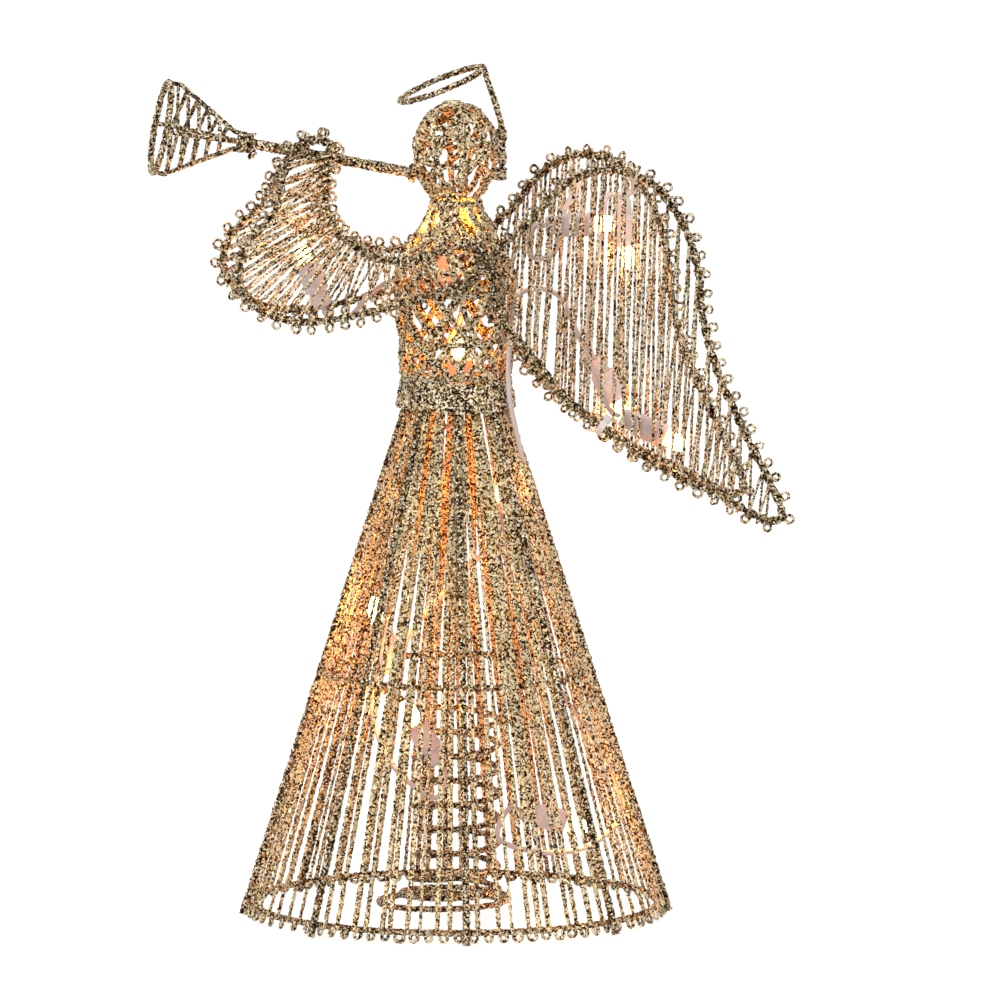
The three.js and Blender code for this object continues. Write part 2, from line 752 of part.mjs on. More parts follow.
// Each side holds a sleeve and a wing; the far side is the near side mirrored.
const lampInset = windRadius + windThread + clearance + holderRadius;
const nearLamps = {
  near_wing_upper: [onWing(0.14, 0.835, lampInset), at(1, 0, 0.04)],
  near_wing_lower: [onWing(0.414, 0.289, lampInset), at(0.9, 0, -0.42)],
};
const farLamps = {
  far_wing_upper: [onWing(0.488, 0.877, lampInset), at(0.1, 0, -1)],
  far_wing_lower: [onWing(0.385, 0.416, lampInset), at(0.45, 0, -0.89)],
};
const lamps = {};
function side(name, lampPlaces) {
  const group = new THREE.Group();
  group.add(piece(name + "_arm_frame", armFrame, goldPaint));
  group.add(wound(name + "_arm_thread", armWinding, windThread, goldPaint));
  const wing = new THREE.Group();
  wing.position.copy(polar(bodiceRadius + seatReach, wingSeatAngle, 0));
  wing.position.add(polar(wingRootShare * wingLength, -wingSplay, 0));
  wing.rotation.z = -wingSplay;
  wing.add(piece(name + "_wing_frame", wingFrame, goldPaint));
  wing.add(wound(name + "_wing_thread", wingWinding, windThread, goldPaint));
  for (const [place, [back, aim]] of Object.entries(lampPlaces)) {
    lamps[place] = lamp(place, back, aim);
    wing.add(lamps[place]);
  }
  group.add(wing);
  figure.add(group);
  return group;
}
side("near", nearLamps);
side("far", farLamps).scale.y = -1;

// Lamps of the body, as shares of the sizes round them.
const inSkirt = (x, y, z) => at(x * hemHoopRadius, y * hemHoopRadius, z * ribTop);
const inBodice = (x, y, z) => {
  return at(x * bodiceRadius, y * bodiceRadius, bodiceBottom + z * bodiceHeight);
};
const skirtLamp2 = inSkirt(-0.33, 0, 0).setZ(middleHoopHeight + hoopLampRise);
const bodyLamps = {
  neck: [inBodice(-0.18, 0, 0.54), at(0, 0, 1)],
  chest: [inBodice(0.07, 0, -0.18), at(0, 0, 1)],
  arm: [at(-0.592 * armReach, 0, elbowHeight + 0.052 * armHeight), at(-0.35, 0, 0.94)],
  skirt_1: [inSkirt(0.195, -0.1, 0.69), at(0.1, 0, 1)],
  skirt_2: [skirtLamp2, at(-0.25, 0, 0.97)],
  skirt_3: [inSkirt(-0.13, -0.312, 0.304), at(-0.5, 0, 0.86)],
  skirt_4: [inSkirt(0.275, -0.312, 0.211), at(0.96, 0, -0.27)],
};
for (const [place, [back, aim]] of Object.entries(bodyLamps)) {
  lamps[place] = lamp(place, back, aim);
  figure.add(lamps[place]);
}

// Leads: one run of covered wire after another, from lamp to lamp.
const into = (name) => leadEnd(lamps[name], clearance);
const before = (name) => leadEnd(lamps[name], leadStub * leadRadius);
const behind = (name, across) => {
  figure.updateMatrixWorld(true);
  const lift = 2 * clearance + leadRadius * (1 + Math.abs(across) / 5);
  return lamps[name].localToWorld(at(across * holderTailRadius, 0, -lift));
};
function lead(name, points, steps) {
  const route = new THREE.CatmullRomCurve3(points, false, "centripetal");
  const section = new THREE.Shape();
  for (let i = 0; i < roundSides; i += 1) {
    const spoke = polar(leadRadius, (2 * Math.PI * i) / roundSides, 0);
    if (i === 0) section.moveTo(spoke.x, spoke.y);
    else section.lineTo(spoke.x, spoke.y);
  }
  const geometry = new THREE.ExtrudeGeometry(section, { steps, extrudePath: route });
  figure.add(piece(name, geometry, leadPaint));
}
const middleFacet = Math.cos(Math.PI / hoopStepsMiddle);
const leadInset = hoopWire + clearance + leadRadius;
const hoopLeadRadius = hoopRadiusAt(middleHoopHeight) * middleFacet - leadInset;
const waistLeadRadius = waistHoopRadius - leadInset;
lead("lead_skirt", [
  into("skirt_3"),
  before("skirt_3"),
  inSkirt(-0.156, -0.403, 0.243),
  inSkirt(-0.364, -0.312, 0.302),
  inSkirt(-0.442, -0.117, 0.414),
  behind("skirt_2", -1),
  behind("skirt_2", 1),
  inSkirt(-0.234, 0.065, 0.516),
  inSkirt(-0.052, 0.052, 0.603),
  behind("skirt_1", -1),
  behind("skirt_1", 1),
  inSkirt(0.312, -0.156, 0.652),
  inSkirt(0.403, -0.312, 0.555),
  polar(hoopLeadRadius, -42 * degree, middleHoopHeight),
  inSkirt(0.584, -0.312, 0.37),
  inSkirt(0.753, -0.182, 0.268),
  inSkirt(0.792, -0.195, 0.19),
  inSkirt(0.61, -0.312, 0.141),
  inSkirt(0.364, -0.377, 0.136),
  inSkirt(0.156, -0.364, 0.165),
  before("skirt_4"),
  into("skirt_4"),
], 32);
lead("lead_body", [
  into("chest"),
  before("chest"),
  inBodice(-0.136, 0.273, -0.31),
  polar(waistLeadRadius, 120 * degree, waistHoopHeight),
  inBodice(-0.136, 0.545, 0.093),
  inBodice(0.182, 0.364, 0.361),
  behind("neck", 1),
  behind("neck", -1),
  inBodice(-0.591, -0.045, 0.525),
  inBodice(-1, 0, 0.555),
  inBodice(-1.455, 0, 0.481),
  inBodice(-1.909, 0, 0.331),
  before("arm"),
  into("arm"),
], 18);
lead("lead_near_wing", [
  inBodice(1.191, -0.632, -0.624),
  inBodice(1, -0.591, -0.355),
  inBodice(0.814, -0.768, -0.072),
  inBodice(0.836, -0.764, 0.212),
  inBodice(1.045, -0.591, 0.481),
  inBodice(1.636, -0.636, 0.481),
  inBodice(2.045, -0.773, 0.227),
  before("near_wing_lower"),
  into("near_wing_lower"),
], 13);
lead("lead_far_wing", [
  into("far_wing_lower"),
  before("far_wing_lower"),
  inBodice(2.5, 0.909, 0.361),
  inBodice(2.727, 0.955, 0.809),
  behind("far_wing_upper", 1.6),
  behind("far_wing_upper", 0),
  behind("far_wing_upper", -1.2),
  inBodice(3.182, 0.818, 1.093),
  inBodice(2.364, 0, 1.137),
  inBodice(1.864, -0.364, 0.958),
  inBodice(1.636, -0.364, 0.69),
  inBodice(1.227, -0.5, 0.69),
  before("near_wing_upper"),
  into("near_wing_upper"),
], 17);

export default figure;
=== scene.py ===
import json
import math
import random

import bpy
from mathutils import Matrix, Vector


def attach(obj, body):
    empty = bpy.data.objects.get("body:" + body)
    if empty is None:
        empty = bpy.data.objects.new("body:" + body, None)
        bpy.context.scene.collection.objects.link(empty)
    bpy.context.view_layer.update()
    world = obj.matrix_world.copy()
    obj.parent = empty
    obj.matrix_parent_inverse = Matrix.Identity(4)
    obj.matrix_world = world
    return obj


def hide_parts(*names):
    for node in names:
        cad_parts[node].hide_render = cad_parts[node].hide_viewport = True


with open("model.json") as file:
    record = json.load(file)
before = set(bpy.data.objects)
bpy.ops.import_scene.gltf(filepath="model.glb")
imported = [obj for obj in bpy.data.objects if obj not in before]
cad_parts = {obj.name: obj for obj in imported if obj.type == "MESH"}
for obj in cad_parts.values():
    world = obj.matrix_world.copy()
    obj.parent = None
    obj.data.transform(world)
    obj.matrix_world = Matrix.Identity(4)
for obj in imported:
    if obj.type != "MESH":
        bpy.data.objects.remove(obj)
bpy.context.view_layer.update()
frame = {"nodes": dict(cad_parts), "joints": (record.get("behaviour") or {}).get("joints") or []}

mm = 0.001
print("frame loaded:", len(frame["nodes"]), "nodes")

# Camera at the photograph's angle: a long lens, a little above the object.
viewSettings = {
    "azimuth": math.radians(-8.5),
    "elevation": math.radians(7),
    "distance": 5.0,
    "target": Vector((0.017, 0, 0.1595)),
    "sensor": 36,
    "widthSeen": 0.381,
    "clip": (0.1, 200),
}


def setCamera():
    s = viewSettings
    back = Vector((math.sin(s["azimuth"]) * math.cos(s["elevation"]),
                   -math.cos(s["azimuth"]) * math.cos(s["elevation"]),
                   math.sin(s["elevation"])))
    bpy.ops.object.camera_add(location=s["target"] + back * s["distance"])
    camera = bpy.context.object
    camera.rotation_euler = (-back).to_track_quat("-Z", "Y").to_euler()
    camera.data.sensor_width = s["sensor"]
    camera.data.lens = s["sensor"] * s["distance"] / s["widthSeen"]
    camera.data.clip_start, camera.data.clip_end = s["clip"]
    bpy.context.scene.camera = camera


setCamera()


def fromHex(text):
    # sRGB hex to the linear colour that the shader wants
    channels = [int(text[i:i + 2], 16) / 255 for i in (1, 3, 5)]
    linear = [c / 12.92 if c <= 0.04045 else ((c + 0.055) / 1.055) ** 2.4 for c in channels]
    return (*linear, 1)


def addNode(tree, kind, links=None, stops=(), **settings):
    # one node: its settings by socket or property name, what feeds it, and the colours of a ramp
    node = tree.nodes.new(kind)
    for key, value in settings.items():
        if hasattr(node, key):
            setattr(node, key, value)
        else:
            node.inputs[int(key[1:]) if key[1:].isdigit() else key.replace("_", " ")].default_value = value
    for socket, source in (links or {}).items():
        tree.links.new(source, node.inputs[socket])
    if stops:
        while len(node.color_ramp.elements) < len(stops):
            node.color_ramp.elements.new(0.5)
        for element, (place, colour) in zip(node.color_ramp.elements, stops):
            element.position = place
            element.color = fromHex(colour)
    return node


def newMaterial(name):
    made = bpy.data.materials.new(name)
    made.use_nodes = True
    made.node_tree.nodes.clear()
    return made, made.node_tree


def finishMaterial(tree, links, **settings):
    shader = addNode(tree, "ShaderNodeBsdfPrincipled", links, **settings)
    addNode(tree, "ShaderNodeOutputMaterial", {"Surface": shader.outputs["BSDF"]})


# PET glitter glued to iron wire: hexagonal flakes, each at its own tilt, so that a pale flake lies
# beside a dark one. Their stops run from near black to near white: the flakes' own champagne shades,
# with painted glints in the palest and painted dark reflections in the darkest. The real ones are
# finer; these are about 0.6 mm across, so that they show.
glitterSettings = {
    "champagne glitter on wire": {
        "flake": 0.64 * mm, "tilt": 0.7, "metallic": 0.42, "roughness": 0.38, "dullest": 0.84,
        "stops": [(0, "#1e0f03"), (0.38, "#6a4e2c"), (0.56, "#bfa574"), (0.73, "#fff9e8")],
    },
    "champagne glitter on thread": {
        "flake": 0.62 * mm, "tilt": 0.65, "metallic": 0.36, "roughness": 0.4, "dullest": 0.78,
        "stops": [(0, "#2a1503"), (0.30, "#906b36"), (0.42, "#e0bf86"), (0.53, "#fff8e4")],
    },
    "champagne glitter on skirt thread": {
        "flake": 0.62 * mm, "tilt": 0.65, "metallic": 0.36, "roughness": 0.4, "dullest": 0.82,
        "stops": [(0, "#351a03"), (0.31, "#97692a"), (0.42, "#e8bf78"), (0.51, "#fff4d6")],
    },
    "champagne glitter on netting": {
        "flake": 0.65 * mm, "tilt": 0.7, "metallic": 0.36, "roughness": 0.42, "dullest": 0.88,
        "stops": [(0, "#2a1403"), (0.33, "#8c6229"), (0.44, "#e2bd79"), (0.52, "#fff5da")],
    },
    "champagne glitter on felt band": {
        "flake": 0.66 * mm, "tilt": 0.7, "metallic": 0.36, "roughness": 0.44, "dullest": 1.0,
        "stops": [(0, "#1e1004"), (0.34, "#7c6036"), (0.49, "#d0b482"), (0.62, "#fff9ea")],
    },
}
# What every coat of glitter shares. The patches, 70 to the metre, are about 14 mm wide, and a flake
# is up to so much smoother or rougher than its coat says.
coatSettings = {
    "patches": 70, "patchTints": [(0.3, "#dcd6cb"), (0.7, "#fff6e4")],
    "smoother": 0.16, "rougher": 0.2, "edge": 0.35, "edgeHeight": 0.2 * mm,
    # the glue between the flakes is dull
    "specular": 0.1,
}


def glitterMaterial(name):
    s = glitterSettings[name]
    shared = coatSettings
    made, tree = newMaterial(name)
    place = addNode(tree, "ShaderNodeTexCoord").outputs["Object"]
    flakes = addNode(tree, "ShaderNodeTexVoronoi", {"Vector": place}, Scale=1 / s["flake"])
    parts = addNode(tree, "ShaderNodeSeparateColor", {"Color": flakes.outputs["Color"]})
    # each flake is one of a few colours all over, with no blend; the palest are painted glints and the
    # darkest are painted dark reflections
    colour = addNode(tree, "ShaderNodeValToRGB", {"Fac": parts.outputs["Red"]}, s["stops"])
    colour.color_ramp.interpolation = "CONSTANT"
    # patches where the glue took more or less glitter
    patch = addNode(tree, "ShaderNodeTexNoise", {"Vector": place}, Scale=shared["patches"], Detail=2)
    warm = addNode(tree, "ShaderNodeValToRGB", {"Fac": patch.outputs["Fac"]}, shared["patchTints"])
    tint = addNode(tree, "ShaderNodeMix", {6: colour.outputs["Color"], 7: warm.outputs["Color"]},
                   data_type="RGBA", blend_type="MULTIPLY", _0=1.0)
    # one thread took more dark flakes, the next more pale ones
    own = addNode(tree, "ShaderNodeNewGeometry")
    depth = addNode(tree, "ShaderNodeMapRange", {"Value": own.outputs["Random Per Island"]},
                    _3=s["dullest"], _4=1.0)
    shade = addNode(tree, "ShaderNodeMix", {6: tint.outputs[2], 7: depth.outputs["Result"]},
                    data_type="RGBA", blend_type="MULTIPLY", _0=1.0)
    gloss = addNode(tree, "ShaderNodeMapRange", {"Value": parts.outputs["Green"]},
                    _3=s["roughness"] - shared["smoother"], _4=s["roughness"] + shared["rougher"])
    # every flake leans its own way
    lean = addNode(tree, "ShaderNodeVectorMath", {0: flakes.outputs["Color"]}, operation="SUBTRACT",
                   _1=(0.5, 0.5, 0.5))
    more = addNode(tree, "ShaderNodeVectorMath", {0: lean.outputs["Vector"]}, operation="SCALE",
                   Scale=2 * s["tilt"])
    total = addNode(tree, "ShaderNodeVectorMath", {0: own.outputs["Normal"], 1: more.outputs["Vector"]},
                    operation="ADD")
    normal = addNode(tree, "ShaderNodeVectorMath", {0: total.outputs["Vector"]}, operation="NORMALIZE")
    edge = addNode(tree, "ShaderNodeBump", {"Height": flakes.outputs["Distance"],
                                            "Normal": normal.outputs["Vector"]},
                   Strength=shared["edge"], Distance=shared["edgeHeight"])
    finishMaterial(tree, {"Base Color": shade.outputs[2], "Roughness": gloss.outputs["Result"],
                          "Normal": edge.outputs["Normal"]},
                   Metallic=s["metallic"], Specular_IOR_Level=shared["specular"])
    return made


# each coat with the slot of its finish
wireCoat = (glitterMaterial("champagne glitter on wire"), "glitter_wire")
threadCoat = (glitterMaterial("champagne glitter on thread"), "glitter_thread")
skirtCoat = (glitterMaterial("champagne glitter on skirt thread"), "glitter_thread")
netCoat = (glitterMaterial("champagne glitter on netting"), "glitter_net")
bandCoat = (glitterMaterial("champagne glitter on felt band"), "glitter_band")

# What all the plastics share: cloudy patches about 8 mm wide, a faint texture, and milky walls that
# let red light furthest in.
plasticFeel = {
    "clouds": 120, "smoother": 0.08, "rougher": 0.1, "texture": 0.25, "textureHeight": 0.05 * mm,
    # glow: the colour of the painted glow that a holder gives, though it is no lamp
    "depths": (1, 0.55, 0.35), "depth": 2 * mm, "ior": 1.5, "glow": "#ff9a4e",
}
# Their two shades, which are greyer than the white plastic as painted shade from the threads round it; how
# rough they are, their grain, how much light goes into them, and how strong a painted glow they give.
plasticSettings = {
    # milky, so that the lamp's light warms it; a faint mould texture; its shades are greyer than its white,
    # as painted shade
    "moulded polypropylene": {
        "shades": [(0.25, "#c5baba"), (0.75, "#d7ccc9")], "roughness": 0.42, "grain": 0.3 * mm,
        "softness": 0.25, "glow": 0,
    },
    # the same with a painted glow, for the dark of the bodice: its emission stands in for the light of the
    # lamp inside coming through the milky wall
    "moulded polypropylene, painted glow": {
        "shades": [(0.25, "#c5baba"), (0.75, "#d7ccc9")], "roughness": 0.42, "grain": 0.3 * mm,
        "softness": 0.25, "glow": 0.5,
    },
    # a dull white that the flex is covered with; its shades are greyer than that white, as painted shade
    # from the threads round it
    "extruded white pvc": {
        "shades": [(0.25, "#b9aca9"), (0.75, "#ccbfba")], "roughness": 0.48, "grain": 0.5 * mm,
        "softness": 0.2, "glow": 0,
    },
}


def plasticMaterial(name):
    s = plasticSettings[name]
    feel = plasticFeel
    made, tree = newMaterial(name)
    place = addNode(tree, "ShaderNodeTexCoord").outputs["Object"]
    cloud = addNode(tree, "ShaderNodeTexNoise", {"Vector": place}, Scale=feel["clouds"], Detail=3)
    colour = addNode(tree, "ShaderNodeValToRGB", {"Fac": cloud.outputs["Fac"]}, s["shades"])
    fine = addNode(tree, "ShaderNodeTexNoise", {"Vector": place}, Scale=1 / s["grain"], Detail=2)
    rough = addNode(tree, "ShaderNodeMapRange", {"Value": fine.outputs["Fac"]},
                    _3=s["roughness"] - feel["smoother"], _4=s["roughness"] + feel["rougher"])
    bump = addNode(tree, "ShaderNodeBump", {"Height": fine.outputs["Fac"]},
                   Strength=feel["texture"], Distance=feel["textureHeight"])
    # the emission is a painted glow; it is off where a plastic's glow is 0
    finishMaterial(tree, {"Base Color": colour.outputs["Color"], "Roughness": rough.outputs["Result"],
                          "Normal": bump.outputs["Normal"]},
                   IOR=feel["ior"], Subsurface_Weight=s["softness"], Subsurface_Radius=feel["depths"],
                   Subsurface_Scale=feel["depth"], Emission_Color=fromHex(feel["glow"]),
                   Emission_Strength=s["glow"])
    return made


holderPlastic = plasticMaterial("moulded polypropylene")
# the holder plastic with a painted glow
paintedGlowPlastic = plasticMaterial("moulded polypropylene, painted glow")
leadCover = plasticMaterial("extruded white pvc")

# Soda glass round a lit filament: it burns out to white and lights the thread round it amber.
# The bulbs at the chest and high in the skirt stand close to the cords and threads that they light;
# the sleeve's and the wings' tell less in the daylight.
bulbSettings = {
    "glow": [(0.3, "#ff8c30"), (0.7, "#ffa044")], "swirls": 400,
    "glass": "#fff0d6", "roughness": 0.08, "ior": 1.5,
    "levels": {"lit soda glass": 280, "lit soda glass, close": 95, "lit soda glass, open air": 60},
}


def bulbMaterial(name):
    s = bulbSettings
    made, tree = newMaterial(name)
    place = addNode(tree, "ShaderNodeTexCoord").outputs["Object"]
    swirl = addNode(tree, "ShaderNodeTexNoise", {"Vector": place}, Scale=s["swirls"], Detail=1)
    glow = addNode(tree, "ShaderNodeValToRGB", {"Fac": swirl.outputs["Fac"]}, s["glow"])
    finishMaterial(tree, {"Emission Color": glow.outputs["Color"]}, Emission_Strength=s["levels"][name],
                   Base_Color=fromHex(s["glass"]), Roughness=s["roughness"], IOR=s["ior"])
    return made


bulbGlass = bulbMaterial("lit soda glass")
closeBulbGlass = bulbMaterial("lit soda glass, close")
openBulbGlass = bulbMaterial("lit soda glass, open air")
print("materials made")


def curvePoint(points, share, closed=True):
    # a smooth curve through the points, at a share of its points from 0 to 1
    count = len(points)
    place = (count if closed else count - 1) * share
    index = math.floor(place)
    part = place - index
    if not closed and index >= count - 1:
        index, part = count - 2, 1.0
    if closed:
        p0, p1, p2, p3 = (points[(index + k) % count] for k in (-1, 0, 1, 2))
    else:
        p1, p2 = points[index], points[index + 1]
        p0 = points[index - 1] if index > 0 else 2 * points[0] - points[1]
        p3 = points[index + 2] if index + 2 < count else 2 * points[-1] - points[-2]
    d0, d1, d2 = (max((b - a).length, 1e-9) ** 0.5 for a, b in ((p0, p1), (p1, p2), (p2, p3)))
    t1 = ((p1 - p0) / d0 - (p2 - p0) / (d0 + d1) + (p2 - p1) / d1) * d1
    t2 = ((p2 - p1) / d1 - (p3 - p1) / (d1 + d2) + (p3 - p2) / d2) * d1
    return (p1 + t1 * part + (-3 * p1 + 3 * p2 - 2 * t1 - t2) * part ** 2
            + (2 * p1 - 2 * p2 + t1 + t2) * part ** 3)


def spaced(points, step, closed=False):
    # the same line with its points an even step apart
    line = list(points) + ([points[0]] if closed else [])
    far = [0.0]
    for a, b in zip(line, line[1:]):
        far.append(far[-1] + (b - a).length)
    count = max(round(far[-1] / step), 1)
    out, k = [], 0
    for i in range(count if closed else count + 1):
        goal = far[-1] * i / count
        while k < len(far) - 2 and far[k + 1] < goal:
            k += 1
        run = far[k + 1] - far[k]
        out.append(line[k].lerp(line[k + 1], (goal - far[k]) / run if run > 0 else 0))
    return out


def sampled(points, count, closed=True):
    return [curvePoint(points, i / count, closed) for i in range(count if closed else count + 1)]


def angles(count, closed=False):
    # evenly round a circle, with the first one again at the end where it is closed
    return [2 * math.pi * i / count for i in range(count + 1 if closed else count)]


def shares(count):
    return [i / count for i in range(count + 1)]


def select(*objects):
    # these and nothing else, the first of them active
    bpy.ops.object.select_all(action="DESELECT")
    for obj in objects:
        obj.select_set(True)
    if objects:
        bpy.context.view_layer.objects.active = objects[0]


# how far apart the points lie along wire, skirt thread, cord and fine wire: about a flake's width
wireStep, strandStep, cordStep, fineStep = 0.65 * mm, 0.75 * mm, 0.7 * mm, 0.6 * mm


def layCurve(name, lines, radius, sides, closed=False, swell=0.0, seed=1):
    # a round section along each line, a little thicker and thinner by turns, still a curve
    select()
    bpy.ops.curve.primitive_nurbs_path_add()
    obj = bpy.context.object
    obj.name = name
    curve = obj.data
    curve.splines.clear()
    chance = random.Random(seed)
    for line in lines:
        spline = curve.splines.new("POLY")
        spline.points.add(len(line) - 1)
        spline.points.foreach_set("co", [c for p in line for c in (*p, 1)])
        spline.points.foreach_set("radius", [1 + swell * chance.uniform(-1, 1) for _ in line])
        spline.use_cyclic_u = closed
        spline.use_smooth = False
    curve.bevel_depth = radius
    curve.bevel_resolution = (sides - 4) // 2
    curve.use_fill_caps = not closed
    return obj


def layWire(name, lines, radius, sides=6, closed=False, swell=0.0, seed=1):
    # the same as a mesh with welded ends
    obj = layCurve(name, lines, radius, sides, closed, swell, seed)
    select(obj)
    bpy.ops.object.convert(target="MESH")
    bpy.ops.object.mode_set(mode="EDIT")
    bpy.ops.mesh.select_all(action="SELECT")
    bpy.ops.mesh.remove_doubles(threshold=0.01 * mm)
    bpy.ops.mesh.normals_make_consistent(inside=False)
    bpy.ops.object.mode_set(mode="OBJECT")
    return obj


def finishWith(obj, kind, **settings):
    # a modifier with its settings, applied
    select(obj)
    added = obj.modifiers.new(kind.lower(), kind)
    for key, value in settings.items():
        setattr(added, key, value)
    bpy.ops.object.modifier_apply(modifier=added.name)


flakeTexture = bpy.data.textures.new("flakes", "CLOUDS")
flakeTexture.noise_basis = "CELL_NOISE"
flakeTexture.noise_scale = 0.55 * mm
flakeTexture.noise_depth = 0
lumpTexture = bpy.data.textures.new("lumps", "CLOUDS")
lumpTexture.noise_scale = 3.2 * mm
lumpTexture.noise_depth = 1


def roughen(obj, height, texture=flakeTexture):
    # flakes that stand out of the surface by up to half the height, or sink in as much
    finishWith(obj, "DISPLACE", texture=texture, texture_coords="LOCAL", mid_level=0.5, strength=height)


def dress(obj, coat, nodes=()):
    material, slot = coat
    obj.data.materials.clear()
    obj.data.materials.append(material)
    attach(obj, "figure")
    if nodes:
        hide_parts(*nodes)


def glittered(name, lines, radius, flake, coat, nodes=(), sides=6, closed=False, swell=0.1, seed=1):
    # wire, cord or thread along the lines, dipped in glitter
    obj = layWire(name, lines, radius, sides, closed, swell, seed)
    roughen(obj, flake)
    dress(obj, coat, nodes)


def standing(place, aim):
    # moves a model drawn up from the origin to its place, with its own axis along the aim
    return Matrix.Translation(place) @ aim.to_track_quat("Z", "Y").to_matrix().to_4x4()


loopSettings = {"around": 12, "section": 5, "flake": 0.3 * mm}


def makeLoops(name, places, radius, wire):
    # small rings of thread, each at its place: centre, its own axis and its size
    s = loopSettings
    select()
    bpy.ops.mesh.primitive_torus_add(major_radius=radius, minor_radius=wire,
                                     major_segments=s["around"], minor_segments=s["section"])
    first = bpy.context.object
    first.name = name
    loops = [first]
    for _ in places[1:]:
        copy = first.copy()
        copy.data = first.data.copy()
        bpy.context.scene.collection.objects.link(copy)
        loops.append(copy)
    for loop, (centre, axis, size) in zip(loops, places):
        loop.data.transform(standing(centre, axis) @ Matrix.Scale(size, 4))
    select(*loops)
    bpy.ops.object.join()
    roughen(first, s["flake"])
    dress(first, threadCoat)


def shake(points, reach, chance):
    return [p + Vector([chance.gauss(0, reach) for _ in range(3)]) for p in points]


def polar(radius, angle, z):
    return Vector((radius * math.cos(angle), radius * math.sin(angle), z))


# Leads: the runs of covered flex between the lamps, in millimetres, as the solids have them.
leadRoutes = {
    "lead_skirt": {
        "length": 0.351,
        "points": [
            (-9.9, -24, 62.2), (-8, -24, 59), (-12, -31, 49.9), (-28, -24, 62.1), (-34, -9, 85.1),
            (-28.4, 0, 94), (-21.6, 0, 95.7), (-18, 5, 106), (-4, 4, 123.9), (11.4, -7.7, 140.4),
            (18.3, -7.7, 139.7), (24, -12, 134), (31, -24, 114.1), (33.9, -30.6, 94),
            (45, -24, 76), (58, -14, 55.1), (61, -15, 39), (47, -24, 29), (28, -29, 27.9),
            (12, -28, 33.9), (17.3, -24, 44.4), (20.9, -24, 43.4),
        ],
    },
    "lead_body": {
        "length": 0.136,
        "points": [
            (1.5, 0, 195.4), (1.5, 0, 191.7), (-3, 6, 187), (-6.3, 10.9, 198), (-3, 12, 214),
            (4, 8, 232), (-0.5, 0, 242.2), (-7.5, 0, 242.2), (-13, -1, 243), (-22, 0, 245),
            (-32, 0, 240), (-42, 0, 230), (-49.5, 0, 231.2), (-50.8, 0, 234.7),
        ],
    },
    "lead_near_wing": {
        "length": 0.145,
        "points": [
            (26.2, -13.9, 166), (22, -13, 184), (17.9, -16.9, 203), (18.4, -16.8, 222),
            (23, -13, 240), (36, -14, 240), (45, -17, 223), (56.5, -22.5, 195.1),
            (59.8, -23.2, 193.6),
        ],
    },
    "lead_far_wing": {
        "length": 0.176,
        "points": [
            (56.9, 22.6, 210.6), (55.3, 22.2, 213.9), (55, 20, 232), (60, 21, 262),
            (62, 23.7, 273), (67.5, 24.8, 273.2), (71.6, 25.7, 273.9), (70, 18, 281),
            (52, 0, 284), (41, -8, 272), (36, -8, 254), (27, -11, 254), (28, -16.4, 265.9),
            (31.6, -17.2, 266.1),
        ],
    },
}
leadDiameter = 2 * mm


def makeLead(name, route):
    points = [Vector(p) * mm for p in route["points"]]
    line = sampled(points, 8 * (len(points) - 1), closed=False)
    obj = layCurve(name + "_flex", [line], leadDiameter / 2, 12)
    obj.data.splines[0].use_smooth = True
    dress(obj, (leadCover, "lead_cover"), [name])


for leadName, leadRoute in leadRoutes.items():
    makeLead(leadName, leadRoute)
print("leads laid:", len(leadRoutes))

# Skirt: ribs and hoops of wound wire, and glittered thread run up and down between them.
skirtSettings = {
    "hemRadius": 77 * mm, "hemHeight": 5 * mm,
    "middleHeight": 94 * mm,
    "waistRadius": 15.2 * mm, "waistHeight": 198 * mm,
    "hoopWire": 1.25 * mm, "hoopPoints": 720,
    "ribWire": 1.45 * mm, "ribFoot": 1.0 * mm, "ribTop": 205.5 * mm, "ribOut": 3.1 * mm,
    "ribs": 8, "firstRib": math.radians(-95.5),
    "strandsBetween": (10, 7, 7, 10, 10, 7, 7, 10), "strandWire": 0.66 * mm, "strandOut": 2.2 * mm,
    # the shares of places with two threads and with three side by side, which halve where fewer than
    # "full" threads are laid; the gap between them, halved at the hem and whole from "wholeFrom" up
    "pairShare": 0.55, "tripleShare": 0.25, "full": 10, "pairGap": 0.9 * mm, "pairGapTop": 0.7 * mm,
    "hemGap": 0.5, "wholeFrom": 0.3, "pairLift": 0.5 * mm,
    "strandFoot": 4.6 * mm, "strandTop": 202 * mm, "strandPoints": 60,
    # how far each place is off its even one, in bundle widths, and how its threads bow, lift and shake
    "uneven": 0.06, "drift": (0.1, 0.35), "bow": 9, "lift": (-0.25, 0.35), "shake": 0.03 * mm,
    # above this height the threads are drawn together into bundles
    "bundles": 18, "bundleStart": 118 * mm, "bundlePull": 0.66, "bundleBend": 1.4,
    "loopRadius": 1.5 * mm, "loopWire": 0.78 * mm, "loopHeight": 3.4 * mm, "loopIn": 0.3 * mm,
    "loopTip": 0.3, "loopTurn": 0.5, "loopSize": (0.9, 1.12),
    "flake": 0.42 * mm, "hoopFlake": 0.462 * mm, "ribFlake": 0.504 * mm,
    # where the wing's lead slips under the strands
    "leadAngle": math.radians(-27.9), "leadHeight": 168 * mm, "leadReach": 9 * mm,
    "leadTurn": math.radians(9), "leadLift": 4.2 * mm,
}


def hoopRadius(z):
    s = skirtSettings
    slope = (s["waistRadius"] - s["hemRadius"]) / (s["waistHeight"] - s["hemHeight"])
    return s["hemRadius"] + slope * (z - s["hemHeight"])


# how much further out a point lies when it is raised square off the slope
coneStretch = math.hypot(1, (hoopRadius(1.0) - hoopRadius(0.0)))


def onSkirt(angle, z, out):
    return polar(hoopRadius(z) + out * coneStretch, angle, z)


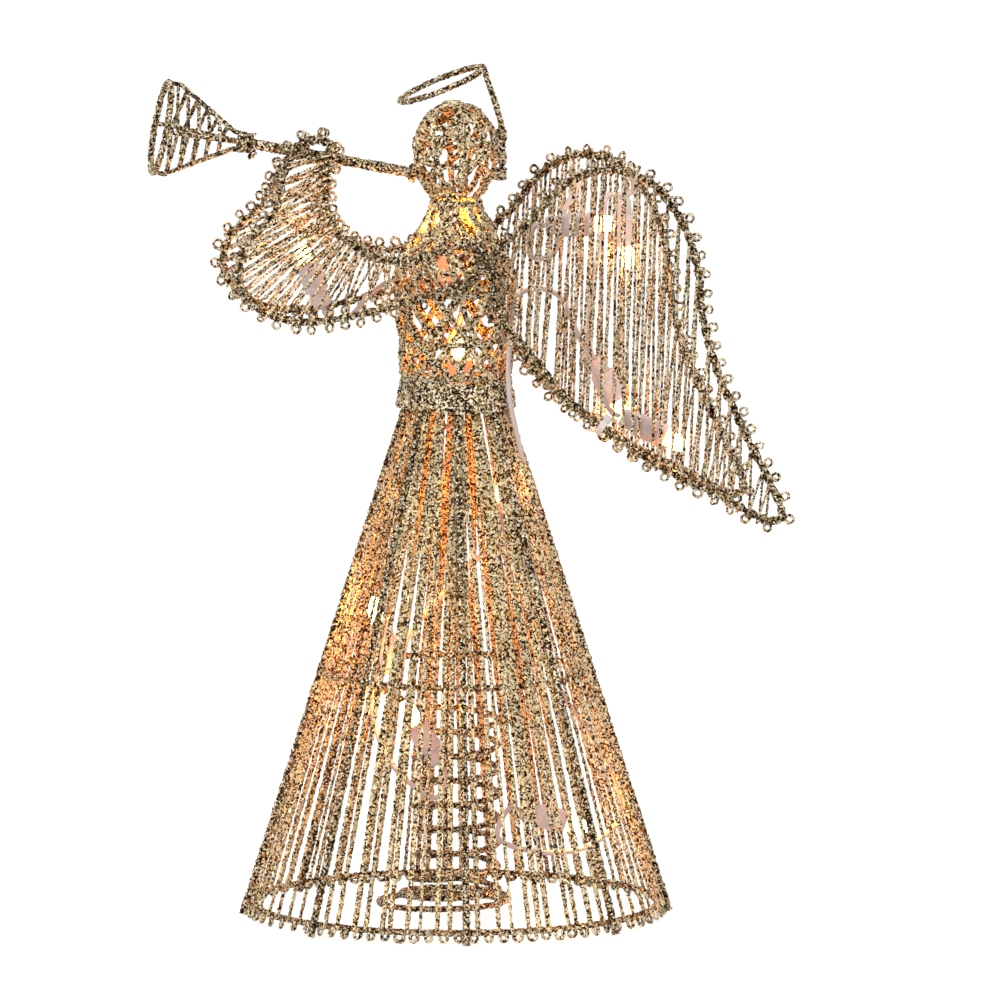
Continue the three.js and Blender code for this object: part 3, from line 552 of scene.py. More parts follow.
def overLead(angle, z):
    # how far a strand is pushed out by the lead that runs in under it
    s = skirtSettings
    turn = (angle - s["leadAngle"] + math.pi) % (2 * math.pi) - math.pi
    rise = z - s["leadHeight"]
    return s["leadLift"] * math.exp(-(turn / s["leadTurn"]) ** 4 - (rise / s["leadReach"]) ** 4)


ribSector = 2 * math.pi / skirtSettings["ribs"]


def ribAngle(k):
    return skirtSettings["firstRib"] + k * ribSector


def makeHoops():
    s = skirtSettings
    for name, z in (("hem_hoop", s["hemHeight"]), ("middle_hoop", s["middleHeight"]),
                    ("waist_hoop", s["waistHeight"])):
        ring = [polar(hoopRadius(z), angle, z) for angle in angles(s["hoopPoints"])]
        glittered(name + "_wound", [spaced(ring, wireStep, closed=True)], s["hoopWire"], s["hoopFlake"],
                  wireCoat, [name], 8, closed=True, swell=0.08, seed=len(name))


def makeRib(k):
    s = skirtSettings
    name = "skirt_rib_%d" % (k + 1)
    ends = [onSkirt(ribAngle(k), z, s["ribOut"]) for z in (s["ribFoot"], s["ribTop"])]
    glittered(name + "_wound", [spaced(ends, wireStep)], s["ribWire"], s["ribFlake"], wireCoat, [name],
              8, seed=k)


def strandPath(own, bundle, place, drift, phase, lift):
    # up the skirt at its own angle, and nearer its bundle's as it rises
    s = skirtSettings
    path = []
    for share in shares(s["strandPoints"]):
        z = s["strandFoot"] + (s["strandTop"] - s["strandFoot"]) * share
        rise = max((z - s["bundleStart"]) / (s["strandTop"] - s["bundleStart"]), 0)
        pull = s["bundlePull"] * rise ** s["bundleBend"]
        turn = own + (bundle - own) * pull
        sway = drift * math.sin(phase + s["bow"] * share) * math.sin(math.pi * share)
        gap = s["pairGap"] + (s["pairGapTop"] - s["pairGap"]) * share
        sway += place * gap * (s["hemGap"] + (1 - s["hemGap"]) * min(share / s["wholeFrom"], 1))
        out = s["strandOut"] + (lift + place * s["pairLift"]) * rise + overLead(turn, z)
        path.append(onSkirt(turn + sway / hoopRadius(z), z, out))
    return path


def makeStrands(k):
    # the threads between one rib and the next
    s = skirtSettings
    name = "skirt_thread_%d" % (k + 1)
    bundleStep = 2 * math.pi / s["bundles"]
    chance = random.Random(100 + k)
    lines = []
    strandCount = s["strandsBetween"][k]
    for j in range(strandCount):
        own = ribAngle(k) + (j + 1) * ribSector / (strandCount + 1)
        own += chance.uniform(-s["uneven"], s["uneven"]) * bundleStep
        bundle = round((own - s["firstRib"]) / bundleStep) * bundleStep + s["firstRib"]
        drift, phase = chance.uniform(*s["drift"]) * mm, chance.uniform(0, 6.3)
        lift = chance.uniform(*s["lift"]) * mm
        # one thread, or two or three side by side
        draw = chance.random() * (2 if strandCount < s["full"] else 1)
        places = (0,)
        if draw < s["tripleShare"]:
            places = (-1, 0, 1)
        elif draw < s["tripleShare"] + s["pairShare"]:
            places = (-0.5, 0.5)
        for place in places:
            path = strandPath(own, bundle, place, drift, phase, lift)
            lines.append(shake(spaced(path, strandStep), s["shake"], chance))
    glittered(name + "_glittered", lines, s["strandWire"], s["flake"], skirtCoat, [name],
              swell=0.16, seed=200 + k)


def makeHemLoops():
    s = skirtSettings
    chance = random.Random(7)
    places = []
    for k in range(s["ribs"]):
        gaps = s["strandsBetween"][k] + 1
        for j in range(gaps):
            angle = ribAngle(k) + (j + 0.5) * ribSector / gaps
            centre = onSkirt(angle, s["loopHeight"], s["strandOut"] - s["loopIn"])
            out = polar(1, angle, s["loopTip"]).normalized()
            out.rotate(Matrix.Rotation(chance.uniform(-s["loopTurn"], s["loopTurn"]), 3, "Z"))
            places.append((centre, out, chance.uniform(*s["loopSize"])))
    makeLoops("hem_loops", places, s["loopRadius"], s["loopWire"])


makeHoops()
for ribIndex in range(skirtSettings["ribs"]):
    makeRib(ribIndex)
    makeStrands(ribIndex)
makeHemLoops()
print("skirt made")

# Waist band: a strip of felt round the ribs' tops, thick with glitter and a little lumpy.
bandSettings = {
    "bottom": 195.7 * mm, "top": 207.3 * mm, "inside": 21.5 * mm, "insideTop": 19.4 * mm,
    "thickness": 1.3 * mm, "around": 220, "rows": 18, "lump": 1.7 * mm, "wander": 0.45 * mm,
    "rolls": 3, "rollHeight": 0.35 * mm, "rollSunk": 0.2 * mm, "flake": 0.6 * mm,
}


def makeBand():
    s = bandSettings
    height = s["top"] - s["bottom"]
    select()
    bpy.ops.mesh.primitive_cylinder_add(vertices=s["around"], radius=s["inside"] + s["thickness"],
                                        depth=height, end_fill_type="NOTHING",
                                        location=(0, 0, s["bottom"] + height / 2))
    band = bpy.context.object
    band.name = "waist_band_felt"
    bpy.ops.object.transform_apply(location=True)
    # cut into rows of faces
    bpy.ops.object.mode_set(mode="EDIT")
    for row in range(1, s["rows"]):
        z = s["bottom"] + height * row / s["rows"]
        bpy.ops.mesh.select_all(action="SELECT")
        bpy.ops.mesh.bisect(plane_co=(0, 0, z), plane_no=(0, 0, 1))
    bpy.ops.object.mode_set(mode="OBJECT")
    for vertex in band.data.vertices:
        # it leans in towards the top as the ribs do, and lies in low rolls where the thread draws it in
        rise = (vertex.co.z - s["bottom"]) / height
        girth = s["inside"] + (s["insideTop"] - s["inside"]) * rise + s["thickness"]
        girth += s["rollHeight"] * abs(math.sin(s["rolls"] * math.pi * rise)) - s["rollSunk"]
        flat = Vector((vertex.co.x, vertex.co.y)).normalized() * girth
        vertex.co.x, vertex.co.y = flat
        # it was put on by hand, so it rises and falls a little on its way round
        around = math.atan2(flat.y, flat.x)
        vertex.co.z += s["wander"] * (math.sin(2 * around + 0.8) + 0.5 * math.sin(5 * around))
    roughen(band, s["lump"], lumpTexture)
    finishWith(band, "SOLIDIFY", thickness=s["thickness"], offset=-1)
    roughen(band, s["flake"])
    dress(band, bandCoat, ["waist_band"])


makeBand()

# Tree spring: two wide turns at the foot, an even coil, and an arm out under the middle hoop.
springSettings = {
    "wire": 1.15 * mm, "radius": 16, "baseRadius": 28, "baseHeight": 3.8, "baseRise": 6.4,
    "baseShift": 5, "baseTurns": 2, "pitch": 9.4, "turns": 7.4, "start": math.radians(20),
    "armTurn": math.radians(8), "armLength": 8, "armHeight": 91.2, "turnPoints": 48, "flake": 0.4 * mm,
}


def makeSpring():
    s = springSettings
    line = []
    for i in range(round((s["baseTurns"] + s["turns"]) * s["turnPoints"]) + 1):
        turn = i / s["turnPoints"]
        base = min(turn / s["baseTurns"], 1)
        z = s["baseHeight"] + s["baseRise"] * base + max(turn - s["baseTurns"], 0) * s["pitch"]
        radius = s["baseRadius"] + (s["radius"] - s["baseRadius"]) * base
        point = polar(radius, s["start"] + turn * 2 * math.pi, z)
        point.x -= s["baseShift"] * (1 - base)
        line.append(point * mm)
    last = line[-1]
    reach = hoopRadius(skirtSettings["middleHeight"])
    turned = math.atan2(last.y, last.x) + s["armTurn"]
    high = s["armHeight"] * mm
    arm = [last, polar(0.75 * s["radius"] * mm + 0.25 * reach, turned + s["armTurn"], (last.z + high) / 2),
           polar(reach - s["armLength"] * mm, turned + 3 * s["armTurn"], high),
           polar(reach, turned + 3 * s["armTurn"], high)]
    line += sampled(arm, 60, closed=False)[1:]
    glittered("tree_spring_wound", [spaced(line, wireStep)], s["wire"], s["flake"], wireCoat,
              ["tree_spring"], 8, swell=0.08)


makeSpring()
print("band and spring made")

# Bodice and head: thick glittered cord led this way and that over a round form.
bodySettings = {
    "bottom": 207.8, "height": 67, "radius": 22,
    "girth": [(0, 0.9), (0.21, 0.94), (0.42, 1), (0.58, 1), (0.73, 0.79), (0.87, 0.51), (1, 0.36)],
    # cords that climb and turn both ways, and turns that run nearly level and tie them
    "cord": 1.28 * mm, "bodiceCords": 17, "uneven": 0.28, "sweep": (75, 150), "bow": (0.05, 0.16),
    "over": 0.55, "footLift": 0.4,
    "levelTurns": (222, 240.5, 251, 262.5), "endTurns": (208.6, 273.6),
    "levelTilt": (0.5, 3.2), "endTilt": 0.3, "levelOver": 0.4,
    "headCentre": 292.4, "headRadius": 15.4, "headHalf": 19, "neckShare": -0.87,
    "headCord": 1.2 * mm, "headLoops": 12, "flake": 0.55 * mm, "cordShake": 0.05 * mm,
    # how flat the head's poles lie, how close two may come, how far a loop drops and how much it waves
    "poleRise": 0.75, "poleClose": 0.93, "loopDrop": 0.35, "loopWave": 0.02, "shortest": 8,
    # the neck's bulb, which the head's cords keep clear of also when it is pulled out
    "bulbX": -3.96, "bulbTop": 281, "bulbClear": 5.2,
}


def bodiceRadius(z):
    share = min(max((z - bodySettings["bottom"]) / bodySettings["height"], 0), 1)
    table = bodySettings["girth"]
    for (low, a), (high, b) in zip(table, table[1:]):
        if share <= high:
            return bodySettings["radius"] * (a + (b - a) * (share - low) / (high - low))
    return bodySettings["radius"] * table[-1][1]


def makeBodice():
    s = bodySettings
    chance = random.Random(31)
    lines = []
    for side in (1, -1):
        for k in range(s["bodiceCords"]):
            start = 2 * math.pi * (k + chance.uniform(-s["uneven"], s["uneven"])) / s["bodiceCords"]
            sweep = side * math.radians(chance.uniform(*s["sweep"]))
            bow, phase = chance.uniform(*s["bow"]), chance.uniform(0, 6.3)
            path = []
            for share in shares(60):
                # the end is lifted clear of the band
                z = s["bottom"] + s["height"] * share + (s["footLift"] if share == 0 else 0)
                angle = start + sweep * share + bow * math.sin(phase + 7 * share)
                over = s["over"] * math.sin(side * k * 2.1 + 14 * share)
                path.append(polar(bodiceRadius(z) + over, angle, z) * mm)
            lines.append(shake(spaced(path, cordStep), s["cordShake"], chance))
    for z in sorted(s["levelTurns"] + s["endTurns"]):
        tilt, phase = chance.uniform(*s["levelTilt"]), chance.uniform(0, 6.3)
        if z in s["endTurns"]:
            tilt = s["endTilt"]
        ring = []
        for angle in angles(240):
            high = z + tilt * math.sin(angle + phase)
            over = s["levelOver"] * math.sin(5 * angle + phase)
            ring.append(polar(bodiceRadius(high) + over, angle, high) * mm)
        lines.append(spaced(ring + ring[:1], cordStep))
    glittered("bodice_weave", lines, s["cord"], s["flake"], netCoat, ["bodice_net"], swell=0.14, seed=5)


def clearOfBulb(place):
    # pushes a point out sideways where it would be in the way of the neck's bulb
    s = bodySettings
    off = Vector((place.x - s["bulbX"], place.y))
    if place.z < s["bulbTop"] and off.length < s["bulbClear"]:
        off = off.normalized() * s["bulbClear"]
        place.x, place.y = s["bulbX"] + off.x, off.y


def headPoles(chance):
    # each loop lies square to its own pole, and no two poles are close
    s = bodySettings
    poles = [Vector((0, 1, 0)), Vector((1, 0, 0.02)), Vector((0.1, 0.15, 1))]
    while len(poles) < s["headLoops"]:
        pole = Vector([chance.gauss(0, 1) for _ in range(3)])
        pole.z *= s["poleRise"]
        pole.normalize()
        if all(abs(pole.dot(other.normalized())) < s["poleClose"] for other in poles):
            poles.append(pole)
    return [pole.normalized() for pole in poles]


def headRuns(k, pole, drop):
    # one loop round the head, in the runs that are left where it stops at the open neck
    s = bodySettings
    across = pole.orthogonal().normalized()
    other = pole.cross(across)
    reach = math.sqrt(1 - drop * drop)
    runs = [[]]
    for turn in angles(240, closed=True):
        spot = across * math.cos(turn) * reach + other * math.sin(turn) * reach + pole * drop
        out = 1 + s["loopWave"] * math.sin(3 * turn + k)
        point = Vector((spot.x * s["headRadius"], spot.y * s["headRadius"], spot.z * s["headHalf"]))
        place = Vector((0, 0, s["headCentre"])) + point * out
        clearOfBulb(place)
        if spot.z > s["neckShare"]:
            runs[-1].append(place * mm)
        elif runs[-1]:
            runs.append([])
    return [run for run in runs if len(run) > s["shortest"]]


def makeHead():
    s = bodySettings
    chance = random.Random(12)
    lines = []
    for k, pole in enumerate(headPoles(chance)):
        drop = 0 if k < 2 else chance.uniform(-s["loopDrop"], s["loopDrop"])
        lines += [shake(spaced(run, cordStep), s["cordShake"], chance) for run in headRuns(k, pole, drop)]
    glittered("head_weave", lines, s["headCord"], s["flake"], netCoat, ["head_net"], swell=0.14, seed=6)


makeBodice()
makeHead()
print("bodice and head made")

# Halo: a ring of wound wire on a stem down the back of the head.
haloSettings = {
    "radius": 17, "shift": -5.3, "height": 318.77, "tilt": math.radians(22), "wire": 1.15 * mm,
    "stem": [(10.5, 0, 325.1), (16, 0, 308.8), (17.9, 0, 300.6), (17.9, 0, 292.4), (17.9, 0, 282.1)],
    "bindTops": (300.5, 292.5, 286), "bindTurns": 3, "bindPitch": 1.1, "bindMiddle": 16.4,
    "bindDeep": 2.8, "bindWide": 1.9, "bindSlant": 0.5, "bindPoints": 24, "bindThread": 0.55 * mm,
    "flake": 0.4 * mm,
}


def makeHalo():
    s = haloSettings
    ring = []
    for angle in angles(240):
        forward = s["radius"] * math.cos(angle)
        ring.append(Vector((forward * math.cos(s["tilt"]) + s["shift"], s["radius"] * math.sin(angle),
                            s["height"] + forward * math.sin(s["tilt"]))) * mm)
    stem = sampled([Vector(p) * mm for p in s["stem"]], 60, closed=False)
    glittered("halo_wound", [spaced(ring + ring[:1], fineStep), spaced(stem, fineStep)], s["wire"],
              s["flake"], wireCoat, ["halo"], 8, seed=8)
    # thread bound round the stem and the back of the head together
    lines = []
    for top in s["bindTops"]:
        bound = []
        for i in range(s["bindTurns"] * s["bindPoints"] + 1):
            turn = 2 * math.pi * i / s["bindPoints"]
            z = top - s["bindPitch"] * i / s["bindPoints"] + s["bindSlant"] * math.sin(turn)
            bound.append(Vector((s["bindMiddle"] + s["bindDeep"] * math.cos(turn),
                                 s["bindWide"] * math.sin(turn), z)) * mm)
        lines.append(spaced(bound, fineStep))
    glittered("halo_binding", lines, s["bindThread"], s["flake"], threadCoat, swell=0.15, seed=15)


# Trumpet: a straight tube between the sleeves, and a bell of four ribs with thread across them.
trumpetSettings = {
    "mouth": (-16.1, 0, 285.1), "pitch": math.radians(11), "length": 68, "tube": 2.05 * mm,
    "bellStart": 63, "collar": 5, "collarWire": 3.2, "bellLength": 35.4, "bellRadius": 17.2,
    "rimWire": 1.25 * mm, "ribWire": 0.95 * mm, "ribs": 4, "thread": 0.55 * mm,
    "collarTurns": 4, "collarPitch": 1.25, "collarFrom": 0.9, "collarSunk": 0.3, "threadOut": 0.7,
    # loose ends of thread at the throat: how many, how far apart and how far round from each other
    "looseEnds": 5, "loosePitch": 0.6, "looseTurn": 0.5,
    # the cord that binds the tube to the head
    "mouthCord": 0.8 * mm, "mouthOut": 2.9, "mouthFrom": 1.2, "mouthWide": 1.6, "mouthTurns": 2,
    # along the bell, as shares: where it opens, where it is full, and what the thread covers in turns
    "opens": 0.14, "full": 0.86, "windFrom": 0.22, "windTo": 0.9, "turns": 5,
    "flake": 0.45 * mm,
}


def onTrumpet(along, around, out):
    s = trumpetSettings
    axis = Vector((-math.cos(s["pitch"]), 0, math.sin(s["pitch"])))
    rise = Vector((math.sin(s["pitch"]), 0, math.cos(s["pitch"])))
    side = Vector((0, 1, 0))
    spoke = rise * math.cos(around) + side * math.sin(around)
    return (Vector(s["mouth"]) + axis * along + spoke * out) * mm


def onBell(share, around, lift=0.0):
    s = trumpetSettings
    end = s["bellStart"] + s["bellLength"]
    first = s["bellStart"] + s["collar"] / 2
    rise = min(max((share - s["opens"]) / (s["full"] - s["opens"]), 0), 1)
    girth = s["collarWire"] + (s["bellRadius"] - s["collarWire"]) * rise
    return onTrumpet(first + (end - first) * share, around, girth + lift)


def makeTube():
    s = trumpetSettings
    tube = spaced([onTrumpet(0.4, 0, 0), onTrumpet(s["length"], 0, 0)], wireStep)
    glittered("trumpet_tube_wound", [tube], s["tube"], s["flake"], wireCoat, ["trumpet_tube"], 10,
              swell=0.07, seed=9)
    bound = [onTrumpet(s["mouthFrom"] - s["mouthWide"] * share, 2 * math.pi * share * s["mouthTurns"],
                       s["mouthOut"]) for share in shares(24 * s["mouthTurns"])]
    glittered("mouth_binding", [spaced(bound, fineStep)], s["mouthCord"], s["flake"], netCoat,
              swell=0.15, seed=14)


def makeBell():
    s = trumpetSettings
    heavy, light = [], []
    for k in range(s["ribs"]):
        # each rib bends where the bell opens, and again where it runs level to the rim
        rib = [onBell(share, k * 2 * math.pi / s["ribs"]) for share in (0, s["opens"], s["full"], 1)]
        heavy.append(spaced(rib, wireStep))
    for turn in range(s["collarTurns"]):
        # the collar, wound close
        along = s["bellStart"] + s["collarFrom"] + s["collarPitch"] * turn
        ring = [onTrumpet(along, angle, s["collarWire"] - s["collarSunk"])
                for angle in angles(48, closed=True)]
        heavy.append(spaced(ring, wireStep))
    rim = [onTrumpet(s["bellStart"] + s["bellLength"], angle, s["bellRadius"])
           for angle in angles(120, closed=True)]
    for k in range(s["looseEnds"]):
        along, around = s["bellStart"] - s["loosePitch"] * k, 0.9 + s["looseTurn"] * k
        light.append(spaced([onTrumpet(along, around, 3), onTrumpet(along + 1, around, 5),
                             onTrumpet(along - 1.5 + k, around + 0.1, 6 + k % 2)], wireStep))
    for strand in (0, 0.35):
        # the thread runs from rib to rib, and a second one just after it
        last = s["turns"] * s["ribs"]
        path = []
        for i in range(last + 1):
            share = s["windFrom"] + (s["windTo"] - s["windFrom"]) * min(i + strand, last) / last
            path.append(onBell(share, i * 2 * math.pi / s["ribs"], s["threadOut"]))
        light.append(spaced(path, wireStep))
    ribs = layWire("trumpet_bell_wound", heavy, s["ribWire"], swell=0.12, seed=10)
    rimWire = layWire("trumpet_rim", [spaced(rim, wireStep)], s["rimWire"], 8, swell=0.1, seed=11)
    thread = layWire("trumpet_bell_thread", light, s["thread"], swell=0.12, seed=12)
    select(ribs, rimWire, thread)
    bpy.ops.object.join()
    roughen(ribs, s["flake"])
    dress(ribs, wireCoat, ["trumpet_bell"])


makeHalo()
makeTube()
makeBell()
print("halo and trumpet made")

# Sleeves and wings: an outline of twisted wire, thread wound across it, and loops along its edge.
# Outlines in millimetres; the near side's, with the far side its mirror image.
sleeveSettings = {
    "outline": [
        (4, -19.9, 259.5), (-12, -19.3, 255.5), (-23.4, -22, 253.6), (-35.7, -22, 256),
        (-45.1, -22, 262.6), (-51.8, -18, 270.5), (-51.2, -8.3, 281), (-48.9, -3.9, 291),
        (-47.6, -3.9, 296.1), (-53, -3.9, 298.4), (-59.8, -3.9, 295.8), (-65.6, -4.1, 288.3),
        (-71.4, -15.7, 273.1), (-83.2, -22, 260.4), (-86, -22, 248), (-78.7, -22, 237.2),
        (-64.2, -22, 231.6), (-49.7, -22, 232.2), (-29.1, -22, 236.4), (-14, -21, 240.5),
        (-3, -24.5, 244.5), (4.5, -24.3, 248.5), (8, -21.3, 254),
    ],
    # which place on the inner edge each thread leaves, and where on the outer edge it lands
    "pairs": [(7.4, 10.9), (6.7, 11.7), (6.1, 12.4), (5.5, 13.2), (5.0, 13.9), (4.6, 14.5),
              (4.3, 15.1), (4.0, 15.8), (3.7, 16.4), (3.2, 17.1), (2.6, 17.8), (2.0, 18.6),
              (1.5, 19.2), (1.1, 19.8)],
    "columns": 24, "spacing": 6.2 * mm, "face": Vector((0, -1, 0)),
    "wire": 0.95 * mm, "twist": 0.75 * mm, "thread": 0.5 * mm, "loopRadius": 1.5 * mm,
    "loopWire": 0.58 * mm, "loopOut": 2.9 * mm, "flake": 0.4 * mm, "frameFlake": 0.44 * mm,
}
# "from" and "to" are where the first and last threads leave the upper edge, along the wing; each
# lands "lean" further in, and both are off by up to "unevenTop" and "unevenFoot".
wingSettings = {
    "outline": [
        (-3.6, 0, 256.5), (9.6, 0, 268.2), (21.1, 0, 281.4), (36.4, 0, 288), (52.5, 0, 284.8),
        (65.1, 0, 271.6), (72.4, 0, 252.8), (74.8, 0, 232.1), (80.9, 0, 210.2), (90.9, 0, 188.3),
        (104.8, 0, 156.5), (100.3, 0, 155), (80.6, 0, 164.8), (59.5, 0, 175.1), (41.1, 0, 187.5),
        (25.8, 0, 198.6), (12.7, 0, 213.7), (-3, 0, 235.6),
    ],
    "base": Vector((15.84, -22.13, 0)), "splay": math.radians(-12),
    "columns": 26, "from": 1.5, "to": 101, "lean": 2, "tip": 10, "unevenTop": 0.8, "unevenFoot": 1.2,
    "spacing": 7 * mm, "wire": 0.95 * mm, "twist": 0.8 * mm, "thread": 0.52 * mm,
    "loopRadius": 1.4 * mm, "loopWire": 0.58 * mm, "loopOut": 2.9 * mm,
    "flake": 0.4 * mm, "frameFlake": 0.44 * mm,
}
# What the sleeves and wings share: the twist of their frames, where thread lies on them, and how
# uneven the loops along their edges are.
panelSettings = {
    "framePoints": 900, "twistLength": 9 * mm, "frameShake": 0.04 * mm,
    "offFrame": 1.75 * mm, "threadSlip": 0.7, "bendPoints": 6, "threadShake": 0.03 * mm,
    "loopTurn": 0.5, "loopLean": 0.3, "loopSlip": 0.6, "loopReach": (0.9, 1.12), "loopSize": (0.88, 1.12),
}


def mirrored(point, side):
    return Vector((point.x, point.y * side, point.z))


def twistedFrame(part, outline, s, side, face, seed):
    # two wires twisted together
    count = panelSettings["framePoints"]
    chance = random.Random(seed)
    lines = []
    ring = sampled(outline, count)
    length = sum((b - a).length for a, b in zip(ring, ring[1:] + ring[:1]))
    turns = round(length / panelSettings["twistLength"])
    for start in (0, math.pi):
        path = []
        for i, point in enumerate(ring):
            along = (ring[(i + 1) % count] - ring[i - 1]).normalized()
            away = along.cross(face).normalized()
            out = away.cross(along)
            turn = start + 2 * math.pi * turns * i / count
            path.append(point + (away * math.cos(turn) + out * math.sin(turn)) * s["twist"])
        wire = shake(spaced(path, wireStep, closed=True), panelSettings["frameShake"], chance)
        lines.append([mirrored(p, side) for p in wire])
    glittered(part + "_edge", lines, s["wire"], s["frameFlake"], wireCoat, [part + "_frame"],
              closed=True, swell=0.14, seed=seed)


def windAcross(part, outline, pairs, s, side, face, seed):
    # over the face from edge to edge, round the edge and back behind it
    shared = panelSettings
    chance = random.Random(seed)
    points = []

    def onEdge(place):
        return curvePoint(outline, place / len(outline) % 1)

    off = shared["offFrame"] + s["thread"]
    for upper, lower in pairs:
        for place, other, front in ((upper, lower, -1), (lower, upper, 1)):
            centre = onEdge(place)
            along = (onEdge(place + 0.05) - onEdge(place - 0.05)).normalized()
            out = (face - along * face.dot(along)).normalized()
            away = along.cross(out).normalized()
            if away.dot(onEdge(other) - centre) > 0:
                away = -away
            slip = along * chance.uniform(-shared["threadSlip"], shared["threadSlip"]) * mm
            for k in range(shared["bendPoints"] + 1):
                turn = math.pi * k / shared["bendPoints"]
                points.append(centre + slip + out * front * math.cos(turn) * off
                              + away * math.sin(turn) * off)
    line = spaced([mirrored(p, side) for p in points], cordStep)
    glittered(part + "_winding", [shake(line, shared["threadShake"], chance)], s["thread"], s["flake"],
              threadCoat, [part + "_thread"], swell=0.16, seed=seed)


def edgeLoops(part, outline, s, side, face, seed):
    shared = panelSettings
    chance = random.Random(seed)

    def uneven(reach):
        return chance.uniform(-reach, reach)

    spots = spaced(sampled(outline, shared["framePoints"]), s["spacing"], closed=True)
    places = []
    for i, spot in enumerate(spots):
        along = (spots[(i + 1) % len(spots)] - spots[i - 1]).normalized()
        away = along.cross(face).normalized()
        axis = face + along * uneven(shared["loopTurn"]) + away * uneven(shared["loopLean"])
        spot = (spot + away * s["loopOut"] * chance.uniform(*shared["loopReach"])
                + along * uneven(shared["loopSlip"]) * mm)
        places.append((mirrored(spot, side), mirrored(axis.normalized(), side),
                       chance.uniform(*shared["loopSize"])))
    makeLoops(part + "_loops", places, s["loopRadius"], s["loopWire"])


def makePanel(part, outline, pairs, s, side, face, seed):
    twistedFrame(part, outline, s, side, face, seed)
    windAcross(part, outline, pairs, s, side, face, seed + 1)
    edgeLoops(part, outline, s, side, face, seed + 2)


def widen(pairs, columns):
    # the pairs as listed, shared out over as many columns
    out = []
    for i in range(columns):
        place = i / (columns - 1) * (len(pairs) - 1)
        k = min(int(place), len(pairs) - 2)
        part = place - k
        out.append(tuple(a + (b - a) * part for a, b in zip(pairs[k], pairs[k + 1])))
    return out


def makeSleeve(who, side, seed):
    s = sleeveSettings
    outline = [Vector(p) * mm for p in s["outline"]]
    makePanel(who + "_arm", outline, widen(s["pairs"], s["columns"]), s, side, s["face"], seed)


def crossing(outline, x, low, high):
    # the place on the outline between low and high where it passes x, found by halving
    for _ in range(30):
        half = (low + high) / 2
        if curvePoint(outline, half / len(outline) % 1).x < x:
            low = half
        else:
            high = half
    return (low + high) / 2


def makeWing(who, side, seed):
    s = wingSettings
    flat = [Vector(p) * mm for p in s["outline"]]
    turn = Matrix.Rotation(s["splay"], 3, "Z")
    outline = [turn @ p + s["base"] * mm for p in flat]
    face = turn @ Vector((0, 1, 0))
    pairs = []
    chance = random.Random(seed)
    for i in range(s["columns"]):
        x = s["from"] + (s["to"] - s["from"]) * i / (s["columns"] - 1)
        x += chance.uniform(-s["unevenTop"], s["unevenTop"])
        foot = x - s["lean"] + chance.uniform(-s["unevenFoot"], s["unevenFoot"])
        pairs.append((crossing(flat, x * mm, 0, s["tip"]),
                      crossing(flat, foot * mm, len(flat) - 1, s["tip"] + 1)))
    makePanel(who + "_wing", outline, pairs, s, side, face, seed)


for whose, sign, firstSeed in (("near", 1, 40), ("far", -1, 60)):
    makeSleeve(whose, sign, firstSeed)
    makeWing(whose, sign, firstSeed + 10)
print("sleeves and wings made")

# Lamps: a stepped plastic holder, and a bulb whose base pushes into it. Each profile is a list of
# (radius, height) in millimetres, drawn up from the back along the lamp's own axis. The frame says
# where each lamp is: its bulb slides out along its axis, and its holder's back is where it starts.
lampSettings = {
    "sides": 28, "sharpest": math.radians(40),
    "holder": [(0.01, 0), (3.0, 0), (3.5, 0.5), (3.5, 5.2), (3.25, 5.5), (3.25, 6.1), (4.2, 6.1),
               (4.6, 6.5), (4.6, 8.3), (4.35, 8.5), (4.35, 9.0), (4.6, 9.2), (4.6, 15.4), (4.45, 15.6),
               (4.45, 16.1), (4.6, 16.3), (4.6, 17.6), (4.2, 18), (2.3, 18), (2.3, 11), (0.01, 11)],
    "base": [(0.01, 11.4), (1.9, 11.4), (1.98, 11.7), (1.98, 18.35), (2.5, 18.35)],
    "glass": [(2.5, 18.35), (2.85, 18.9), (2.9, 20.5), (2.9, 23.4), (2.75, 24.8), (2.3, 26.1),
              (1.6, 26.9), (0.8, 27.2), (0.01, 27.25)],
    # the height above which a bulb is glass, the holders with a painted glow, and the bulbs with a finish
    # of their own
    "glassFrom": 18.4, "paintedGlowHolders": ("neck", "chest"), "closeBulbs": ("chest", "skirt_1"),
}


def turnProfile(name, profile, materials):
    # a circle drawn out ring by ring; where there are two materials, the glass takes the second
    s = lampSettings
    radius, height = profile[0]
    select()
    bpy.ops.mesh.primitive_circle_add(vertices=s["sides"], radius=radius * mm, fill_type="NGON",
                                      location=(0, 0, height * mm))
    obj = bpy.context.object
    obj.name = name
    bpy.ops.object.transform_apply(location=True)
    bpy.ops.object.mode_set(mode="EDIT")
    bpy.ops.mesh.select_all(action="SELECT")
    for (r0, z0), (r1, z1) in zip(profile, profile[1:]):
        bpy.ops.mesh.extrude_region_move(TRANSFORM_OT_translate={"value": (0, 0, (z1 - z0) * mm)})
        bpy.ops.transform.resize(value=(r1 / r0, r1 / r0, 1), center_override=(0, 0, z1 * mm))
    bpy.ops.mesh.select_all(action="SELECT")
    bpy.ops.mesh.normals_make_consistent(inside=False)
    bpy.ops.object.mode_set(mode="OBJECT")
    for material in materials:
        obj.data.materials.append(material)
    for face in obj.data.polygons:
        if len(materials) == 2 and face.center.z > s["glassFrom"] * mm:
            face.material_index = 1
    bpy.ops.object.shade_smooth_by_angle(angle=s["sharpest"])
    return obj


def holderBack(node, aim):
    # the middle of the holder's back face
    corners = [Vector(p) for p in sorted({tuple(v.co) for v in node.data.vertices})]
    lowest = min(p.dot(aim) for p in corners)
    back = [p for p in corners if p.dot(aim) < lowest + 0.1 * mm]
    return sum(back, Vector()) / len(back)


